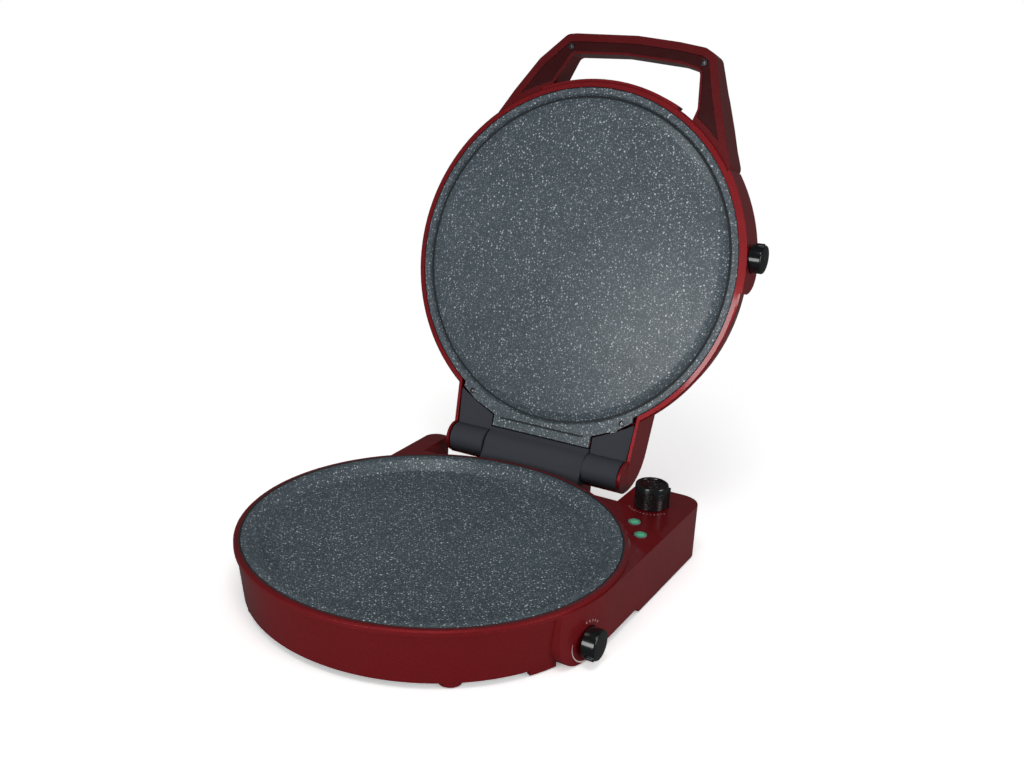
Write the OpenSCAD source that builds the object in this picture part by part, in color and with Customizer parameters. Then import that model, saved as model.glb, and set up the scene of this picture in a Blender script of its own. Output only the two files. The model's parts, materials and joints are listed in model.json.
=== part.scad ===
// Countertop cooker: a round base with a heated pan and a heated lid on a rear hinge.
// Origin: centre of the round base on the standing surface. +X right, +Y back, +Z up, in mm.
// The lid is drawn closed and then turned back about the hinge axis by lid_open.

/* [Cooking plates] */
// Outer radius of both plate rims
plate_r = 165; // [155:1:175]
// Width of the flat rim
rim_w = 7; // [5:0.5:10]
// Radius of the flat cooking area
pan_r = 148; // [138:1:150]
// Depth of the lower pan below its rim
pan_depth = 10; // [6:0.5:12]
// Depth of the groove around the lid plate
lid_groove = 3.5; // [2:0.25:3.5]
// Thickness of the cast plates
plate_t = 2.6; // [2:0.1:3.2]
// Height of the skirt that hangs from each rim
skirt_h = 5.5; // [4.5:0.5:6.5]

/* [Base housing] */
// Thickness of the moulded walls
wall_t = 2.4; // [2:0.1:3]
// Gap between the round wall and the standing surface
base_lift = 6; // [5:0.5:8]
// Height of the round wall, lower edge to rim plane
base_h = 49.5; // [46:0.5:56]
// Width of the lip outside the plate rim
lip_w = 6; // [5:0.5:8]
// Height of the lip band
lip_h = 5; // [4:0.5:6]
// Step inwards from the lip to the round wall
lip_step = 2; // [1:0.5:3]
// How much the round wall leans in towards its lower edge
wall_lean = 5; // [3:0.5:7]
// How far the control side stands proud of the lip
side_proud = 1.5; // [1:0.5:3]
// Depth of the rear deck below the rim plane
deck_drop = 3; // [2:0.5:5]
// Reach of the rear deck behind the lip
deck_reach = 29; // [26:1:32]
// Corner radius of the rear deck
deck_corner = 20; // [12:1:22]
// Outer edge of the narrow left ear, from the centre line
ear_x = 127; // [124:1:132]
// Half width of the hinge notch
notch_half = 107; // [104:1:110]
// Front edge of the hinge notch
notch_y = 152; // [148:1:156]
// Front edge of the control pad, in front of the centre line
pad_front = 65; // [62:1:70]
// Corner radius of the control pad
pad_corner = 22; // [16:1:24]
// Gap between the control side and the standing surface
pad_lift = 1.2; // [1:0.1:2]

/* [Hinge] */
// Hinge axis behind the centre line
hinge_y = 193.5; // [192:0.5:195]
// Hinge axis above the rim plane
hinge_rise = 3; // [2:0.5:4]
// Angle of the lid when it leans on its stop
lid_open = 105; // [90:1:108]
// Radius of the hinge pin
pin_r = 4; // [3:0.25:4.5]
// Radius of the covered hinge barrels
barrel_r = 14.6; // [13:0.2:15]
// Half width of the hinge block on the base
block_half = 54.5; // [50:0.5:56]
// Radius of the top of the hinge block
block_r = 18.4; // [17:0.2:18.6]
// Half width of the lid tongue at the hinge
tongue_half = 96; // [94:0.5:98]

/* [Lid] */
// Gap between both rims when the lid is shut
rim_gap = 2; // [1:0.5:4]
// Height of the lid wall above its lip plane
lid_wall_h = 32; // [28:1:36]
// Rise of the lid top above its wall
lid_crown = 12; // [9:1:16]
// Depth of the handle legs
handle_depth = 34; // [30:1:38]
// Depth of the hand grip
grip_depth = 19; // [16:1:22]
// Front edge of the hand grip, from the centre
grip_front = 214; // [208:1:220]
// Width of the hand grip
grip_w = 19; // [16:0.5:22]

/* [Controls] */
// Radius of the two thermostat knobs
knob_r = 13; // [11:0.5:14]
// Length of the thermostat knobs
knob_h = 11.5; // [9:0.5:14]
// Radius of the timer knob
timer_knob_r = 15; // [12:0.5:17]
// Height of the timer knob
timer_knob_h = 22; // [16:1:26]
// Radius of the control shafts
shaft_r = 3; // [2.5:0.25:3.5]
// Radius of the signal lenses
lens_r = 5.5; // [4:0.5:6]
// Base knob, distance in front of the centre line
base_knob_front = 35; // [32:1:38]
// Lid knob, distance in front of the centre line
lid_knob_front = 27; // [24:1:32]

/* [Heating] */
// Radius of the heating element ring
element_ring_r = 100; // [85:1:110]
// Radius of the element tube
element_tube_r = 3.3; // [3:0.1:4]

/* [Fits] */
// Running clearance of a turning shaft
run_gap = 0.05; // [0.03:0.01:0.08]
// Seat clearance between fixed parts
seat_gap = 0.1; // [0.05:0.05:0.2]
// Air between parts that move past each other
move_gap = 0.5; // [0.4:0.1:0.8]

/* [Hidden] */
$fn = 96;

rim_z = base_lift + base_h;
deck_z = rim_z - deck_drop;
lip_r = plate_r + lip_w;
wall_top_r = lip_r - lip_step;
wall_low_r = wall_top_r - wall_lean;
side_r = lip_r + side_proud;
deck_rear = lip_r + deck_reach;
opening_r = plate_r + 0.4;
ledge_r = plate_r - 8;
plate_screw_r = plate_r - 3.8;
plate_boss_r = 2.9;
ledge_t = 2;
ledge_z = rim_z - skirt_h;
slope_r = plate_r - rim_w;
hinge_z = rim_z + hinge_rise;
lid_z = rim_z + rim_gap;
lid_ledge_z = lid_z + skirt_h;
lid_side_r = side_r;
floor_t = 2.4;
boss_r = 5;
screw_r = 1.5;
screw_head_r = 2.9;
screw_head_h = 1.8;

// Pedestal under the hinge block
pedestal_rear = hinge_y + 14.5;
pedestal_front = wall_low_r - 16;
pedestal_hollow = lip_r + 1;
pedestal_z = hinge_z - 16.6;

// Control places
base_knob_z = base_lift + 13;
lid_knob_z = lid_z + 16;
timer_half = 20;
timer_x = notch_half + timer_half + 9;
timer_y = 160;
lens_places = [[138, 119.5], [153, 98.5]];
pad_x = side_r - 4;
lid_pad_x = lid_side_r - 2.6;

// Feet
front_foot_angle = 51.6;
foot_r = 9.8;
foot_place_r = wall_low_r - foot_r - 1;
rubber_r = 7.5;
rubber_t = 1.8;
rubber_lift = pad_lift;
rear_feet = [[150, 150], [-notch_half - 7, 165]];

function arc(cx, cy, r, a0, a1, n) =
  [for (i = [0:n]) let (a = a0 + (a1 - a0) * i / n) [cx + r * cos(a), cy + r * sin(a)]];

module lid_place() {
  translate([0, hinge_y, hinge_z]) rotate([-lid_open, 0, 0])
    translate([0, -hinge_y, -hinge_z]) children();
}

module along_x(x0, x1) {
  translate([x0, 0, 0]) rotate([90, 0, 90]) linear_extrude(x1 - x0) children();
}

module rod_x(x0, x1, y, z, r) {
  translate([x0, y, z]) rotate([0, 90, 0]) cylinder(h = x1 - x0, r = r);
}

// Plan of the control side and rear deck, drawn in by t
module wing_plan(t) {
  r = side_r - t;
  front = -pad_front + t;
  a0 = asin(front / r);
  polygon(concat(
    arc(0, 0, r, a0, 0, 16),
    arc(side_r - deck_corner, deck_rear - deck_corner, deck_corner - t, 0, 90, 10),
    [[notch_half + t, deck_rear - t], [notch_half + t, notch_y + t],
     [60, notch_y + t], [60, 110], [110, 60], [110, front]]));
}

ear_corner = 0.65 * (ear_x - notch_half);

// Plan of the narrow ear on the left, drawn in by t
module ear_plan(t) {
  polygon(concat(
    [[-notch_half - t, notch_y + t], [-notch_half - t, deck_rear - t]],
    arc(-ear_x + ear_corner, deck_rear - ear_corner, ear_corner - t, 90, 180, 10),
    [[-ear_x + t, 90], [-60, 90], [-60, notch_y + t]]));
}

// Side view of the control side: a rounded pad in front, a foot under the rear, drawn in by t
module wing_side(t) {
  low = pad_lift + t;
  polygon(concat(
    [[-pad_front + t, deck_z + t]],
    arc(-pad_front + pad_corner, pad_lift + pad_corner, pad_corner - t, 180, 270, 10),
    [[-30, low], [-20, low + 2], [-12, base_lift + 0.5 + t], [55, base_lift + 0.5 + t],
     [60, low], [deck_rear + 5, low], [deck_rear + 5, deck_z + t]]));
}

// Half section of the round housing, solid
module round_section() {
  lip_low = rim_z - lip_h;
  polygon([
    [0, base_lift], [wall_low_r, base_lift], [wall_top_r, lip_low - 0.6], [lip_r, lip_low],
    [lip_r, rim_z - 1.4], [lip_r - 1.4, rim_z], [0, rim_z]]);
}

// Half section of the space inside it: cavity, ledge for the plate and opening
module round_space() {
  lean = wall_lean / (base_h - lip_h - 0.6);
  top = ledge_z - ledge_t;
  r0 = wall_low_r - wall_t;
  polygon([
    [0, -2], [r0 - lean * (base_lift + 2), -2], [r0 + lean * (top - base_lift), top],
    [ledge_r, top], [ledge_r, ledge_z], [opening_r, ledge_z], [opening_r, rim_z + 2],
    [0, rim_z + 2]]);
}

cover_boss_angles = [205, 270, 322, 8, 38, 114, 169];
cover_boss_r = wall_low_r - 9;
module boss_places() {
  for (a = cover_boss_angles) rotate([0, 0, a]) translate([cover_boss_r, 0, 0]) children();
}

// Screw bosses for the bottom cover, each with a rib to the wall
module cover_bosses() {
  z = base_lift + floor_t;
  boss_places() {
    translate([0, 0, z]) cylinder(h = 22, r = boss_r);
    translate([0, -1.2, z]) cube([8.8, 2.4, 20]);
  }
  rotate([0, 0, 8]) translate([cover_boss_r, -1.2, z]) cube([17, 2.4, 20]);
}

module front_feet_places() {
  for (s = [-1, 1])
    translate([s * foot_place_r * cos(front_foot_angle),
      -foot_place_r * sin(front_foot_angle), 0]) children();
}

module all_feet_places() {
  front_feet_places() children();
  for (p = rear_feet) translate([p[0], p[1], 0]) children();
}

// Space behind the control side, open to the round cavity in front of the centre
module front_space() {
  r = side_r - wall_t;
  front = -pad_front + wall_t;
  intersection() {
    translate([0, 0, -1]) linear_extrude(ledge_z - ledge_t + 1)
      polygon(concat(arc(0, 0, r, asin(front / r), 0, 16), [[r, 55], [100, 55], [100, front]]));
    along_x(90, side_r) wing_side(wall_t);
  }
}

// Space under the rear deck, behind the round wall
module deck_space() {
  x = side_r - wall_t;
  y = deck_rear - wall_t;
  c = deck_corner;
  translate([0, 0, pad_lift + wall_t]) linear_extrude(deck_z - pad_lift - 2 * wall_t)
    polygon(concat(
      arc(0, 0, lip_r + 0.5, 50, 21, 10), [[x, 62.4]],
      arc(side_r - c, deck_rear - c, c - wall_t, 0, 90, 10),
      [[notch_half + wall_t, y], [notch_half + wall_t, 133]]));
  translate([140, 52, base_lift + 5]) cube([x - 140, 14, ledge_z - base_lift - 7]);
}

module ear_space() {
  x = ear_x - wall_t;
  c = ear_corner;
  translate([0, 0, -1]) linear_extrude(deck_z - wall_t + 1) polygon(concat(
    [[-notch_half - wall_t, 133], [-notch_half - wall_t, deck_rear - wall_t]],
    arc(-ear_x + c, deck_rear - c, c - wall_t, 90, 180, 8), [[-x, 119]]));
}

// Housing of the base: round wall, lip, plate ledge, rear deck, control side and pedestal
module base_shell() {
  color("firebrick") difference() {
    union() {
      difference() {
        union() {
          rotate_extrude($fn = 144) round_section();
          intersection() {
            linear_extrude(deck_z) wing_plan(0);
            along_x(0, side_r + 1) wing_side(0);
          }
          translate([0, 0, base_lift + 0.2]) linear_extrude(deck_z - base_lift - 0.2)
            ear_plan(0);
          pedestal();
        }
        rotate_extrude($fn = 144) round_space();
        front_space();
        deck_space();
        ear_space();
      }
      knob_boss();
      cover_bosses();
      front_feet_places() {
        translate([0, 0, rubber_lift]) cylinder(h = base_lift + floor_t, r = foot_r);
        translate([2, -8, base_lift + 1]) cube([4, 4, 4]);
      }
      low_ledge();
      ear_foot();
    }
    boss_places() translate([0, 0, base_lift]) cylinder(h = 18, r = screw_r + run_gap);
    plate_screw_places() translate([0, 0, ledge_z - 5]) cylinder(h = 8, r = screw_r + 0.2);
    rod_x(pad_x - 8, side_r + 5, -base_knob_front, base_knob_z, 4.8);
    rod_x(pad_x + 0.3, side_r + 5, -base_knob_front, base_knob_z, knob_r + 0.8);
    translate([timer_x, timer_y, deck_z - 5]) cylinder(h = 10, r = 4.8);
    for (p = lens_places) translate([p[0], p[1], deck_z - 5])
      cylinder(h = 10, r = lens_r - 1.2);
    gland_hole();
    block_screw_places() translate([0, 0, pedestal_z - 10])
      cylinder(h = 20, r = screw_r + run_gap);
    all_feet_places() translate([0, 0, -1])
      cylinder(h = rubber_lift + 1 + 2, r = 2 + run_gap);
  }
}

module gland_hole() {
  translate([gland_x, deck_rear + 5, gland_z]) rotate([90, 0, 0]) cylinder(h = 12, r = gland_r);
}

// Hollow stand for the hinge block, open below
module pedestal() {
  difference() {
    translate([-block_half, pedestal_front, base_lift + 0.2])
      cube([2 * block_half, pedestal_rear - pedestal_front, pedestal_z - base_lift - 0.2]);
    translate([-block_half + wall_t, pedestal_hollow, base_lift - 1])
      cube([2 * (block_half - wall_t), pedestal_rear - wall_t - pedestal_hollow,
        pedestal_z - 4 - base_lift + 1]);
  }
}

// Thick spot behind the thermostat dial, bored for the bush
module knob_boss() {
  intersection() {
    rod_x(pad_x - 5, side_r + 1, -base_knob_front, base_knob_z, knob_r + 3);
    translate([0, 0, pad_lift + 1]) cylinder(h = 45, r = side_r - 0.2);
  }
}

// Ledge below the round wall that runs up to the control pad
module low_ledge() {
  rotate([0, 0, -29]) translate([0, 0, pad_lift]) rotate_extrude(angle = 9, $fn = 144)
    translate([wall_low_r - 5, 0]) square([4.2, base_lift - pad_lift + 1]);
}

module ear_foot() {
  translate([-ear_x + 2, 150, pad_lift])
    cube([ear_x - notch_half - 2, 28, base_lift - pad_lift + 3]);
}

// Plate that closes the base from below, with cooling slots
module bottom_cover() {
  color("dimgray") difference() {
    translate([0, 0, base_lift]) cylinder(h = floor_t, r = wall_low_r - wall_t - 0.3);
    front_feet_places() cylinder(h = 20, r = foot_r + 0.3);
    rotate([0, 0, -29.5]) rotate_extrude(angle = 10, $fn = 144)
      translate([wall_low_r - 5.4, 0]) square([6, 20]);
    boss_places() {
      cylinder(h = 20, r = screw_r + 0.2);
      translate([0, 0, base_lift - 1]) cylinder(h = 1.8, r = screw_head_r + 0.2);
    }
    for (i = [-4:4]) for (y = [-60, 14]) translate([i * 11 - 2, y, 0]) cube([4, 46, 20]);
  }
}

// Half section of a cooking plate seen from its rim: recess deep, skirt down
module plate_section(depth, r_floor) {
  polygon([
    [0, -depth], [r_floor, -depth], [slope_r - 1.5, -0.8], [slope_r, 0],
    [plate_r - 0.8, 0], [plate_r, -0.8], [plate_r, -skirt_h],
    [plate_r - plate_t, -skirt_h], [plate_r - plate_t, -plate_t],
    [slope_r, -plate_t], [r_floor, -depth - plate_t], [0, -depth - plate_t]]);
}

module plate_screw_places() {
  for (a = [45, 135, 225, 315]) rotate([0, 0, a + 8])
    translate([plate_screw_r, 0, 0]) children();
}

module clip_places() {
  for (a = [30, 150, 270]) rotate([0, 0, a]) translate([element_ring_r, 0, 0]) children();
}

// Bosses on the hidden side of a plate: screw bosses and clip posts, pointing down
module plate_bosses(depth) {
  plate_screw_places() translate([0, 0, -skirt_h + 0.4])
    cylinder(h = skirt_h - 1.4, r = plate_boss_r);
  clip_places() for (s = [-1, 1]) translate([s * 12, 0, -depth - plate_t - clip_drop])
    cylinder(h = clip_drop + 0.5, r = 4);
}

clip_drop = 2 * element_tube_r + 0.2;

module plate_borings(depth) {
  plate_screw_places() translate([0, 0, -skirt_h - 1])
    cylinder(h = skirt_h - 1, r = screw_r + run_gap);
  clip_places() for (s = [-1, 1]) translate([s * 12, 0, -depth - plate_t - clip_drop - 1])
    cylinder(h = 6.5, r = screw_r + run_gap);
}

// Heated pan with a sloped wall
module lower_plate() {
  color("slategray") translate([0, 0, rim_z]) difference() {
    union() {
      rotate_extrude($fn = 144) plate_section(pan_depth, pan_r);
      plate_bosses(pan_depth);
    }
    plate_borings(pan_depth);
  }
}

// Heating element: a ring with two cold ends, hanging below z = 0
module element_ring() {
  translate([0, 0, -element_tube_r - seat_gap]) {
    rotate([0, 0, 100]) rotate_extrude(angle = 340, $fn = 96)
      translate([element_ring_r, 0]) circle(r = element_tube_r, $fn = 24);
    for (a = [80, 100]) rotate([0, 0, a]) translate([element_ring_r, 0, -14])
      cylinder(h = 14, r = element_tube_r, $fn = 24);
  }
}

module lower_element() {
  color("darkgray") translate([0, 0, rim_z - pan_depth - plate_t]) element_ring();
}

// Straps that hold the element, each with two screws
module element_straps() {
  clip_places() difference() {
    union() {
      translate([-17, -5, -clip_drop - 1.2]) cube([34, 10, 1.2]);
      for (s = [-1, 1]) translate([s * 12, 0, -clip_drop - 2.8])
        cylinder(h = 1.6, r = screw_head_r);
      for (s = [-1, 1]) translate([s * 12, 0, -clip_drop - 2])
        cylinder(h = 5.5, r = screw_r);
    }
  }
}

module lower_element_clips() {
  color("silver") translate([0, 0, rim_z - pan_depth - plate_t]) element_straps();
}

// Half section of a heat shield dish, with its flange at z = 0 and its floor below
shield_t = 0.8;
shield_slope = 18;
shield_gap = 3.5;
module dish_section(drop, edge) {
  t = shield_t;
  low = edge - shield_slope;
  polygon([
    [0, -drop], [low, -drop], [edge, -t], [plate_r, -t], [plate_r, 0],
    [edge - 0.4, 0], [low - 0.4, -drop + t], [0, -drop + t]]);
}

module dish(drop) {
  difference() {
    rotate_extrude($fn = 144) dish_section(drop, slope_r - shield_gap);
    plate_screw_places() cylinder(h = 10, r = screw_r + 0.2, center = true);
    for (a = [80, 100]) rotate([0, 0, a]) translate([element_ring_r, 0, -drop])
      cylinder(h = 5, r = element_tube_r + 2.5, center = true);
  }
}

module lower_reflector() {
  color("gainsboro") translate([0, 0, ledge_z - ledge_t]) dish(24);
}

// Thermostat body with its threaded bush, centred on the x axis line, front at x = 0
module thermostat_body() {
  difference() {
    union() {
      translate([-13, -11, -9.5]) cube([13, 22, 19]);
      rod_x(-0.5, bush_len, 0, 0, 4.6);
    }
    rod_x(-10, bush_len + 1, 0, 0, shaft_r + run_gap);
  }
}

bush_len = 8.5;

module lower_thermostat() {
  color("tan") translate([pad_x - 8.2, -base_knob_front, base_knob_z]) thermostat_body();
}

// The pointer rib starts clear of the curved side that it sweeps past
rib_rise = 2.8;

// Round knob with a pointer rib, turning about +X, back face at x = 0
module side_knob(turn) {
  rotate([turn, 0, 0]) difference() {
    union() {
      rod_x(0, knob_h - 1, 0, 0, knob_r);
      translate([knob_h - 1, 0, 0]) rotate([0, 90, 0])
        cylinder(h = 1, r1 = knob_r, r2 = knob_r - 1);
      translate([rib_rise, knob_r - 3, -2.2]) cube([knob_h - 0.4 - rib_rise, 4.6, 4.4]);
    }
    rod_x(-1, knob_h - 3, 0, 0, shaft_r + 0.02);
  }
}

lower_knob_back = pad_x + 0.3 + move_gap;

module lower_knob() {
  color("black") translate([lower_knob_back, -base_knob_front, base_knob_z]) side_knob(216);
}

module lower_knob_shaft() {
  color("silver") rod_x(pad_x - 17, lower_knob_back + knob_h - 3.2,
    -base_knob_front, base_knob_z, shaft_r);
}

timer_low = 19;

// Spring timer under the deck
module timer_unit() {
  color("lightgray") difference() {
    union() {
      translate([timer_x - timer_half, timer_y - timer_half, timer_low])
        cube([2 * timer_half, 2 * timer_half, deck_z - wall_t - 0.3 - timer_low]);
      translate([timer_x, timer_y, deck_z - wall_t - 1]) cylinder(h = wall_t + 1, r = 4.6);
    }
    translate([timer_x, timer_y, deck_z - 20]) cylinder(h = 30, r = shaft_r + run_gap);
  }
}

// Gong of the timer, hung on its post
module timer_bell() {
  color("silver") translate([timer_x, timer_y, 11]) difference() {
    union() {
      cylinder(h = 5, r = 15);
      translate([0, 0, 4]) cylinder(h = 3.7, r = 2);
    }
    translate([0, 0, -1]) cylinder(h = 4.8, r = 13.8);
  }
}

module timer_knob() {
  color("black") translate([timer_x, timer_y, deck_z + move_gap]) difference() {
    union() {
      cylinder(h = timer_knob_h - 1.5, r = timer_knob_r);
      translate([0, 0, timer_knob_h - 1.5])
        cylinder(h = 1.5, r1 = timer_knob_r, r2 = timer_knob_r - 1.5);
      rotate([0, 0, 20]) translate([timer_knob_r - 4, -2.6, 0])
        cube([6.2, 5.2, timer_knob_h - 3.5]);
    }
    translate([0, 0, -1]) cylinder(h = 15, r = shaft_r + 0.02);
    translate([0, 0, timer_knob_h - 1.2]) cylinder(h = 2, r = timer_knob_r - 3.2);
  }
}

module timer_shaft() {
  color("silver") translate([timer_x, timer_y, deck_z - 19])
    cylinder(h = 19 + 13, r = shaft_r);
}

// Domed signal lenses, each with a stem through the deck
module lamp_lenses() {
  color("seagreen") for (p = lens_places) translate([p[0], p[1], deck_z]) {
    cylinder(h = 0.8, r = lens_r);
    translate([0, 0, 0.8]) cylinder(h = 0.9, r1 = lens_r - 0.4, r2 = lens_r - 2.2);
    translate([0, 0, -wall_t - 1]) cylinder(h = wall_t + 1.2, r = lens_r - 1.3);
  }
}

module neon_lamps() {
  color("orange") for (p = lens_places) translate([p[0], p[1], deck_z - wall_t - 13.1]) {
    cylinder(h = 12, r = 2.6);
    translate([-4, -4, -3]) cube([8, 8, 4]);
  }
}

terminal_x = 86;
terminal_y = 73;

// Terminal block on the bottom cover
module terminal_block() {
  color("ivory") translate([terminal_x, terminal_y, base_lift + floor_t]) difference() {
    cube([14, 30, 12]);
    for (i = [0:2]) translate([-1, 6 + i * 9, 6]) rotate([0, 90, 0]) cylinder(h = 16, r = 1.6);
  }
}

module thermal_fuse() {
  color("silver") translate([0, 0, rim_z - pan_depth - plate_t]) {
    translate([20, -9, -6.1]) rotate([0, 90, 0]) cylinder(h = 24, r = 2.4);
    translate([24, -13, -3.7]) cube([16, 8, 3.6]);
  }
}

gland_x = 140;
gland_z = 24;
gland_r = 6;

// Bush in the rear wall where the supply lead enters
module cord_gland() {
  color("black") translate([gland_x, deck_rear, gland_z]) rotate([90, 0, 0]) difference() {
    union() {
      translate([0, 0, -1.6]) cylinder(h = 1.6, r = gland_r + 2.5);
      translate([0, 0, -0.5]) cylinder(h = wall_t + 2.5, r = gland_r - seat_gap);
      translate([0, 0, wall_t + 0.1]) cylinder(h = 1.9, r = gland_r + 1.5);
    }
    translate([0, 0, -3]) cylinder(h = 12, r = 3.6);
  }
}

// Insulated leads laid along the bottom cover, from the terminal block to the controls
module base_wiring() {
  x = terminal_x;
  y = terminal_y;
  z = base_lift + floor_t + 1.4;
  color("darkred") {
    wire([[x + 14.5, y + 15, z], [x + 32, y + 13, z + 2], [pad_x - 22.5, 40, z + 4],
      [pad_x - 19.5, 15 - base_knob_front, z + 6]]);
    wire([[x - 1.6, y + 6, z], [60, 60, z + 3], [-16, element_ring_r - 4, z + 12]]);
  }
}

// A lead through a list of points, with a square clip at each bend
module wire(points) {
  for (i = [0:len(points) - 2]) {
    a = points[i];
    d = points[i + 1] - a;
    l = norm(d);
    translate(a) rotate([0, acos(d[2] / l), atan2(d[1], d[0])]) cylinder(h = l, r = 1.4, $fn = 16);
  }
  for (i = [1:len(points) - 2]) translate(points[i]) cube(4.2, center = true);
}

// Rubber feet with a plug in each foot
module rubber_feet() {
  color("dimgray") all_feet_places() {
    cylinder(h = rubber_lift, r1 = rubber_r - 0.6, r2 = rubber_r);
    translate([0, 0, rubber_lift]) cylinder(h = 2, r = 2);
  }
}

module pan_screw(length) {
  cylinder(h = screw_head_h - 0.3, r = screw_head_r);
  cylinder(h = length, r = screw_r);
}

module bottom_screws() {
  color("silver") boss_places() translate([0, 0, base_lift - 0.7]) pan_screw(16);
}

module lower_plate_screws() {
  color("silver") plate_screw_places()
    translate([0, 0, ledge_z - ledge_t - 0.8 - screw_head_h + 0.3]) pan_screw(7);
}

// Side view of the hinge block, with a swan neck towards the plate
module block_side() {
  y = hinge_y;
  z = hinge_z;
  top = block_r;
  polygon(concat(
    [[y - 21.5, pedestal_z], [y - 19, z - 9.5], [y - 15, z - 4.5], [y - 12, z + 0.5],
     [y - 10, z + 6], [y - 7.5, z + 10], [y - 4, z + 12.7], [y - 0.5, z + 14],
     [y + 1.7, z + 15], [y + 1.7, z + sqrt(top * top - 1.7 * 1.7)]],
    arc(y, z, top, 80, 48, 5),
    [[y + 12.3, z - 2], [y + 12.3, z - 13.5], [y + 10, pedestal_z]]));
}

module block_screw_places() {
  for (x = [-38, 38]) translate([x, hinge_y - 8.6, 0]) children();
}

module hinge_block() {
  color("darkslategray") difference() {
    along_x(-block_half, block_half) block_side();
    rod_x(-block_half - 1, block_half + 1, hinge_y, hinge_z, pin_r + 0.02);
    block_screw_places() translate([0, 0, pedestal_z - 1]) cylinder(h = 8, r = screw_r + run_gap);
  }
}

module hinge_block_screws() {
  color("silver") block_screw_places()
    translate([0, 0, pedestal_z - 4 - screw_head_h + 0.3]) pan_screw(9.5);
}

arm_x = 66;
arm_w = 7;
clip_w = 1.2;
pin_end = arm_x + arm_w + 0.6 + clip_w + 1.2;

module hinge_pin() {
  color("silver") difference() {
    rod_x(-pin_end, pin_end, hinge_y, hinge_z, pin_r);
    for (s = [0, 1]) mirror([s, 0, 0]) difference() {
      rod_x(arm_x + arm_w + 0.5, arm_x + arm_w + 0.7 + clip_w, hinge_y, hinge_z, pin_r + 1);
      rod_x(arm_x + arm_w, arm_x + arm_w + 2 + clip_w, hinge_y, hinge_z, pin_r - 0.8);
    }
  }
}

// Retaining rings in the grooves of the pin
module hinge_clips() {
  color("silver") for (s = [0, 1]) mirror([s, 0, 0]) difference() {
    rod_x(arm_x + arm_w + 0.6, arm_x + arm_w + 0.6 + clip_w, hinge_y, hinge_z, pin_r + 2);
    rod_x(arm_x + arm_w, arm_x + arm_w + 3, hinge_y, hinge_z, pin_r - 0.75);
  }
}

// Top line of the lid from its wall to the middle, drawn in by t: shoulder and low dome
lid_round = 10;
lid_shoulder = wall_low_r + 0.5 - lid_round;
lid_top_z = lid_z + lid_wall_h;
function lid_top(t) = concat(
  arc(lid_shoulder, lid_top_z, lid_round - t, 0, 90, 6),
  [for (i = [1:6]) let (k = 1 - i / 6)
    [lid_shoulder * k, lid_top_z + lid_round - t + (lid_crown - lid_round) * (1 - k * k)]]);

// Half section of the round lid, solid
module lid_section() {
  lip_up = lid_z + lip_h;
  polygon(concat(
    [[0, lid_z], [lip_r - 1.4, lid_z], [lip_r, lid_z + 1.4], [lip_r, lip_up],
     [wall_top_r, lip_up + 0.6]], lid_top(0)));
}

// Half section of the space inside it, with the ledge for the plate
module lid_space() {
  low = lid_ledge_z + ledge_t;
  polygon(concat(
    [[0, lid_z - 2], [opening_r, lid_z - 2], [opening_r, lid_ledge_z], [ledge_r, lid_ledge_z],
     [ledge_r, low], [wall_top_r - wall_t, low]], lid_top(wall_t)));
}

// Plan of the lid tongue that reaches the hinge, drawn in by t
module tongue_plan(t) {
  half = tongue_half - t;
  polygon([
    [-half - 4, 100], [half + 4, 100], [half + 4, 132], [half, hinge_y + 17 - t],
    [-half, hinge_y + 17 - t], [-half - 4, 132]]);
}

tongue_top = lid_z + 38;
tongue_round = 38;

// Side view of the tongue, with a large round at the rear, drawn in by t
module tongue_side(t, low) {
  yc = hinge_y + 16.5 - tongue_round;
  polygon(concat(
    [[100, low], [yc + tongue_round - t, low]],
    arc(yc, lid_z, tongue_round - t, 0, 90, 12),
    [[100, tongue_top - t]]));
}

module lid_pad_plan(t) {
  r = lid_side_r - t;
  polygon(concat(
    arc(0, 0, r, -36, asin((6 - t) / r), 14), [[120, 6 - t], [100, -60]]));
}

module lid_pad_side(t) {
  r = 22 - t;
  polygon(concat(
    [[-130, lid_z], [6 - t, lid_z]],
    arc(6 - 22, lid_z + handle_depth - 22, r, 0, 90, 10),
    [[-130, lid_z + handle_depth - t]]));
}

module lid_outer() {
  rotate_extrude($fn = 144) lid_section();
  intersection() {
    translate([0, 0, lid_z]) linear_extrude(60) tongue_plan(0);
    along_x(-120, 120) tongue_side(0, lid_z);
  }
  for (s = [-1, 1]) intersection() {
    translate([s > 0 ? tongue_half - 3.4 : -tongue_half - 0.6, 0, 0])
      rod_x(0, 4, hinge_y, hinge_z, barrel_r + 0.9);
    translate([0, 0, lid_z - 40]) linear_extrude(60) tongue_plan(0);
  }
  intersection() {
    translate([0, 0, lid_z]) linear_extrude(handle_depth) lid_pad_plan(0);
    along_x(0, lid_side_r + 1) lid_pad_side(0);
  }
  steam_guard();
}

// Raised band on the front of the lid between the handle legs
module steam_guard() {
  rotate([0, 0, -111]) rotate_extrude(angle = 49, $fn = 144)
    translate([wall_top_r - 2, lid_z + 1]) square([lip_step + 4, 11]);
}

module lid_inner() {
  rotate_extrude($fn = 144) lid_space();
  intersection() {
    translate([0, 0, lid_z - 40]) linear_extrude(100) tongue_plan(3);
    along_x(-120, 120) tongue_side(wall_t, lid_z - 40);
  }
  intersection() {
    translate([0, 0, lid_ledge_z + ledge_t]) linear_extrude(60) lid_pad_plan(wall_t);
    along_x(0, lid_side_r + 1) lid_pad_side(wall_t);
  }
}

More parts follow.
